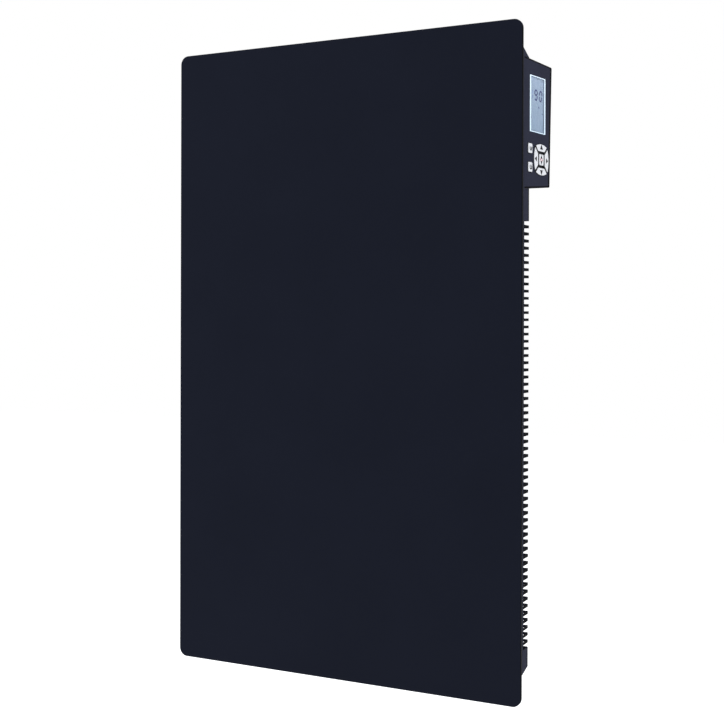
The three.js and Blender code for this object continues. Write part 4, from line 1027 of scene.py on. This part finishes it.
def display():
    rear = FRAME_FRONT - FRAME_THICKNESS
    depths = edge_profile(rear, FRAME_FRONT, 0, 0.3, 3)
    bezel = plate([display_outline(0.3), display_outline(FRAME_BORDER)], depths, FACE)
    piece("display_bezel", bezel, "display_face", ["display_frame"], slot="white_plastic")
    glass = prism([display_outline(FRAME_BORDER + SEAT)], rear, GLASS_FRONT, FACE)
    piece("display_cell", glass, "display_face", ["display_glass"])
    depths = edge_profile(-LENS_RECESS - LENS_THICKNESS, -LENS_RECESS, 0, 0.2, 3)
    piece("display_window", plate([display_outline(0.3)], depths, FACE), "clear_plastic", ["display_lens"])
    side, end = 3.2, 1.5
    low, high = DISPLAY_BOTTOM + end, DISPLAY_TOP - end
    window = rectangle(DISPLAY_FRONT + side, low, DISPLAY_REAR - side, high, 0.6, 5)
    border = prism([display_outline(0.5), window], -LENS_RECESS + 0.01, -LENS_RECESS + 0.05, FACE)
    piece("display_border", border, "bezel_glow", slot="white_plastic")
    marks = {
        "digits": (digit_segments("9", 32.6, 41.2) + digit_segments("0", 45, 53.4), "segment_ink"),
        "faint_digit": (digit_segments("1", 20.6, 29.2), "ghost_ink"),
        "dots": ([circle(x, z, radius, 16) for x, z, radius in DISPLAY_DOTS], "segment_ink"),
    }
    for name, (outlines, look) in marks.items():
        low, high = GLASS_FRONT + 0.02, GLASS_FRONT + 0.06
        flat_marks(f"display_{name}", outlines, low, high, look, slot="display_face")


# ---- Keys ----


def key_cap(name, outline, x, z):
    """Cap with a rounded rim, on its stem."""
    cap = plate([outline], edge_profile(KEY_BACK, KEY_PROUD, 0, KEY_ROUND, 6), FACE)
    depths = [(0.3, STEM_END), (0, STEM_END + 0.3), (0, KEY_BACK)]
    stem = plate([circle(x, z, STEM_DIAMETER / 2, 32)], depths, FACE)
    body = f"{name}_key"
    piece(f"{name}_cap", joined(cap, stem), "key_plastic", [f"key_{name}"], body)
    return body


def triangle(x, z, size, direction, spread=130):
    """A small arrow head that points along an angle in degrees."""
    angles = [(direction + turn) * DEGREE for turn in (0, spread, -spread)]
    return [(x + size * cos(a), z + size * sin(a)) for a in angles]


def mark(name, body, outlines):
    """A printed mark that stands on the key's crown."""
    low, high = KEY_PROUD - MARK_SUNK, KEY_PROUD + MARK_PROUD
    flat_marks(name, outlines, low, high, "key_ink", body=body, slot="key_plastic")


def arrow_key(name, step_x, step_z, inner, size):
    reach = (inner + PAD_RADIUS) / 2
    x, z = PAD_X + step_x * reach, PAD_Z + step_z * reach
    body = key_cap(name, pad_key_outline(step_x, step_z, inner), x, z)
    mark(f"{name}_arrow", body, [triangle(x, z, size, atan2(step_z, step_x) / DEGREE, 116)])


def diamond(w, h):
    return [(PAD_X, PAD_Z - h), (PAD_X + w, PAD_Z), (PAD_X, PAD_Z + h), (PAD_X - w, PAD_Z)]


def centre_key():
    w, h = OK_WIDTH / 2, OK_HEIGHT / 2
    outline = rectangle(PAD_X - w, PAD_Z - h, PAD_X + w, PAD_Z + h, KEY_CORNER, 8)
    body = key_cap("ok", outline, PAD_X, PAD_Z)
    rims = [diamond(3.6, 4.2), diamond(2, 2.4)]
    ring = prism(rims, KEY_PROUD - MARK_SUNK, KEY_PROUD + MARK_PROUD / 2, FACE)
    piece("ok_diamond", ring, "ok_ink", body=body, slot="key_plastic")
    mark("ok_tips", body, [triangle(PAD_X, PAD_Z + way * 3.4, 2.9, way * 90) for way in (1, -1)])


def small_key(name, z):
    """A key with a symbol behind its middle: an open ring with a bar or with a clock's hands."""
    body = key_cap(name, small_key_outline(z, 0), SMALL_KEY_X, z)
    x = SMALL_KEY_X + 1.2
    outer, inner = (arc(x, z, radius, 130 * DEGREE, 410 * DEGREE, 24) for radius in SYMBOL_RADII)
    bar = rectangle(x - 0.6, z + 0.2, x + 0.6, z + 3.4)
    hands = rectangle(x - 0.5, z - 0.5, x + 1.3, z + 0.5)
    mark(f"{name}_symbol", body, [outer + inner[::-1], bar if name == "power" else hands])


def keys():
    arrow_key("up", 0, 1, PAD_INNER_UP, 4.3)
    arrow_key("down", 0, -1, PAD_INNER_UP, 4.3)
    arrow_key("left", -1, 0, PAD_INNER_ALONG, 3.9)
    arrow_key("right", 1, 0, PAD_INNER_ALONG, 3.9)
    centre_key()
    for name, z in SMALL_KEY_HEIGHTS.items():
        small_key(name, z)


# ---- Cord inlet ----


def grip_ring(i):
    start, wide, narrow = 5.2 + i * 3.2, 7.2 - i * 0.35, 6.5 - i * 0.3
    return [
        (wide, start), (wide + 0.1, start + 0.4), (wide, start + 1.6),
        (narrow, start + 1.9), (narrow - 0.05, start + 2.9),
    ]


def cord_inlet():
    """Rubber bush with a flange and three grip rings on its tapered nose."""
    low, high = cad("cord_inlet")
    length, inside = BOX_INNER_X - low.x, BOX_INNER_X - high.x
    place = placed((0, 0, 1), (0, 1, 0), (-1, 0, 0), (BOX_INNER_X, INLET_Y, INLET_Z))
    bore, neck, flange = 4, 6, 9
    profile = [
        (bore, inside), (neck, inside), (neck, SEAT), (flange - 0.3, SEAT), (flange, SEAT + 0.3),
        (flange, SEAT + 2.4), (flange - 0.5, SEAT + 3.3), (flange - 1.5, SEAT + 4),
        *grip_ring(0), *grip_ring(1), *grip_ring(2),
        (neck, length - 0.8), (neck - 0.5, length - 0.1), (bore + 0.6, length), (bore, length - 0.5),
    ]
    piece("cord_bush", turned(profile, place, 56), "black_rubber", ["cord_inlet"])


# ---- Bracket and latches ----


def bent(path, bend, thickness, near):
    """One face of bent sheet: an open path with the sheet's outer or inner radius in its corners."""
    points = [path[0]]
    for before, here, after in zip(path, path[1:], path[2:]):
        left_turn = area([before, here, after]) > 0
        radius = bend if left_turn == near else bend - thickness
        points += fillet(before, here, after, max(radius, 0.3), 5)
    return points + [path[-1]]


def sheet_strip(path, offset, bend):
    """The outline of bent sheet between a path and one moved to its left by an offset."""
    ends = [Vector(path[0]) * 2 - Vector(path[1]), Vector(path[-1]) * 2 - Vector(path[-2])]
    moved = inset([ends[0], *path, ends[1]], offset)[1:-1]
    return bent(path, bend, abs(offset), True) + bent(moved, bend, abs(offset), False)[::-1]


def mirrored(points, side):
    return [(side * x, y) for x, y in points]


def hook(side, z):
    tip = FLANGE_FRONT - HOOK_REACH
    neck = tip + HOOK_LIP_THICKNESS
    upper, lower = z + HOOK_NECK / 2, z - HOOK_NECK / 2
    corners = [
        (FLANGE_REAR, lower), (tip, lower), (tip, upper + HOOK_LIP),
        (neck, upper + HOOK_LIP), (neck, upper), (FLANGE_REAR, upper),
    ]
    outline = rounded(corners, [0, 3, 1.2, 1.2, 0.6, 0], 5)
    return side_prism(outline, side, UPRIGHT_OUTER - BRACKET_SHEET, UPRIGHT_OUTER)


def upright(hand, side):
    path = [
        (UPRIGHT_INNER, FLANGE_FRONT), (UPRIGHT_OUTER, FLANGE_FRONT), (UPRIGHT_OUTER, 0), (UPRIGHT_INNER, 0)
    ]
    outline = mirrored(sheet_strip(path, BRACKET_SHEET, BRACKET_BEND), side)
    channel = plate([outline], edge_profile(-UPRIGHT_TOP, UPRIGHT_TOP, 0.2, 0.2, 2))
    channel = combined(channel, [hook(side, HOOK_Z), hook(side, -HOOK_Z)], "UNION")
    x, height = side * LATCH_X, UPRIGHT_TOP - WALL_SCREW_INSET
    slots = [rectangle(x - 3.5, z - 8, x + 3.5, z + 8, 3.49, 10) for z in (-height, height)]
    tools = [prism([slot], -OVER, BRACKET_SHEET + OVER, FRONT_VIEW) for slot in slots]
    tools.append(bore(x, LATCH_Z, PIN_DIAMETER + 0.3, FLANGE_FRONT, FLANGE_REAR))
    finished(f"bracket_upright_{hand}", combined(channel, tools))


def crossbar():
    low, high = cad("bracket_crossbar")
    step, end, bend = BRACKET_SHEET + SEAT, high.x, UPRIGHT_INNER - 2 * BRACKET_SHEET
    start = bend - 2 * BRACKET_SHEET
    path = [(-end, -step), (-bend, -step), (-start, 0), (start, 0), (bend, -step), (end, -step)]
    half = (high.z - low.z) / 2
    outline = sheet_strip(path, -BRACKET_SHEET, 3)
    finished("bracket_crossbar", plate([outline], edge_profile(-half, half, 0.2, 0.2, 2)))


def latch(hand, side):
    """Latch blade with a round hub and a finger tab."""
    tip, rear = LATCH_X - LATCH_REACH, LATCH_REAR + LATCH_TAB
    low, high = LATCH_Z - LATCH_BLADE / 2, LATCH_Z + LATCH_BLADE / 2
    hub = arc(LATCH_X, LATCH_Z, LATCH_HUB / 2, -142 * DEGREE, 142 * DEGREE, 36)
    outline = mirrored([*hub, (tip, high), (tip, low)], side)
    hole = circle(side * LATCH_X, LATCH_Z, PIN_DIAMETER / 2 + 0.2, 32)
    blade = plate([outline, hole], edge_profile(-LATCH_REAR, -LATCH_FRONT, 0.3, 0.3, 3), FRONT_VIEW)
    x0, x1 = sorted((side * tip, side * (tip + LATCH_THICKNESS)))
    outline = rounded_rectangle(LATCH_FRONT + 1, low, rear, high, [0, 3, 3, 0], 8)
    tab = plate([outline], edge_profile(x0, x1, 0.3, 0.3, 3), SIDE_VIEW)
    finished(f"latch_{hand}", combined(blade, [tab], "UNION"), body=f"{hand}_latch")


def latch_pin(hand, side):
    shank, head, neck = PIN_DIAMETER / 2, PIN_HEAD / 2, LATCH_REAR + SEAT
    place = towards_wall(side * LATCH_X, 0, LATCH_Z)
    profile = [
        (0, FLANGE_FRONT), (shank - 0.3, FLANGE_FRONT), (shank, FLANGE_FRONT + 0.3), (shank, neck),
        (head - 0.1, neck), (head, neck + 0.1), *dome(head, neck + 0.4, neck + PIN_HEAD_HEIGHT, 10),
    ]
    finished(f"latch_pin_{hand}", turned(profile, place))


def latch_catch(hand):
    node = f"latch_catch_{hand}"
    low, high = cad(node)
    path = [(high.y, high.z), (low.y, high.z), (low.y, low.z)]
    outline = sheet_strip(path, CATCH_SHEET, CATCH_BEND)
    mesh = plate([outline], edge_profile(low.x, high.x, 0.2, 0.2, 2), SIDE_VIEW)
    finished(node, mesh, "painted_steel")


# ---- Making ----


def make_heater():
    front_glass()
    rear_casing()
    for node in RAIL_SCREWS + ["housing_screw_bottom", "housing_screw_top"]:
        screw(node)
    control_housing()
    control_fascia()
    display()
    keys()
    cord_inlet()
    crossbar()
    for hand, side in HANDS.items():
        upright(hand, side)
        latch(hand, side)
        latch_pin(hand, side)
        latch_catch(hand)


# ---- Stage ----

YAW, PITCH, ROLL = 0.478534, 0.00233, 0.002505
CAMERA_PLACE = (0.76244, -1.4898, 0.05657)
FOCAL_PIXELS, IMAGE_PIXELS, CENTRE_PIXEL = 1234.73, 724, 318.72
FLOOR_Z = -1
FLOOR_LIFT = 0.5  # brings the unshadowed floor to white where it is seen
AMBIENT = 0.62
LAMPS = {  # place, size and power
    "key": ((1.6, -2.6, 1.7), 2.2, 46),
    "side": ((2.9, -0.2, 0.9), 2.2, 40),
    "rear": ((-1.6, 2.6, 1.4), 2.4, 40),
}


def camera():
    forward = Vector((-sin(YAW) * cos(PITCH), cos(YAW) * cos(PITCH), -sin(PITCH)))
    level = Vector((cos(YAW), sin(YAW), 0))
    up = level.cross(forward)
    right = level * cos(ROLL) + up * sin(ROLL)
    up = up * cos(ROLL) - level * sin(ROLL)
    data = bpy.data.cameras.new("camera")
    data.sensor_width = 36
    data.lens = FOCAL_PIXELS * data.sensor_width / IMAGE_PIXELS
    data.shift_y = (CENTRE_PIXEL - IMAGE_PIXELS / 2) / IMAGE_PIXELS
    made = linked("camera", data)
    made.matrix_world = placed(right, up, -forward, CAMERA_PLACE)
    bpy.context.scene.camera = made


def world():
    """White where it is seen, soft light everywhere else."""
    made = bpy.data.worlds.new("studio")
    bpy.context.scene.world = made
    made.use_nodes = True
    graph = Graph(made.node_tree)
    ambient = graph.nodes["Background"]
    ambient.inputs["Color"].default_value = (0.96, 0.98, 1, 1)
    ambient.inputs["Strength"].default_value = AMBIENT
    white = graph.node("ShaderNodeBackground", "Background", {"Color": (1, 1, 1, 1)})
    sides = {"Fac": graph.seen(), 1: ambient.outputs["Background"], 2: white}
    shown = graph.node("ShaderNodeMixShader", "Shader", sides)
    graph.join(shown, graph.nodes["World Output"].inputs["Surface"])


def floor():
    """Pale floor that stays white for the camera but keeps the heater's shadow."""
    mesh = prism([rectangle(-9000, -9000, 9000, 9000)], FLOOR_Z / MM - 20, FLOOR_Z / MM)
    mesh.transform(Matrix.Scale(MM, 4))
    look = Look("floor_paint", 0.9, specular=0)
    look.mottled((0.93, 0.93, 0.93), 0.01, 3)
    look.set("Emission Color", (1, 1, 1, 1))
    look.join(look.ranged(look.seen(), 0, 1, 0, FLOOR_LIFT), look.shader.inputs["Emission Strength"])
    mesh.materials.append(look.material)
    linked("floor", mesh)


def lamps():
    for name, (place, size, power) in LAMPS.items():
        data = bpy.data.lights.new(name, "AREA")
        data.shape = "SQUARE"
        data.size = size
        data.energy = power
        made = linked(name, data)
        made.location = place
        made.rotation_euler = (-Vector(place)).to_track_quat("-Z", "Y").to_euler()
        made.visible_glossy = False


camera()
make_heater()
floor()
world()
lamps()
bpy.context.scene.view_settings.view_transform = "Standard"
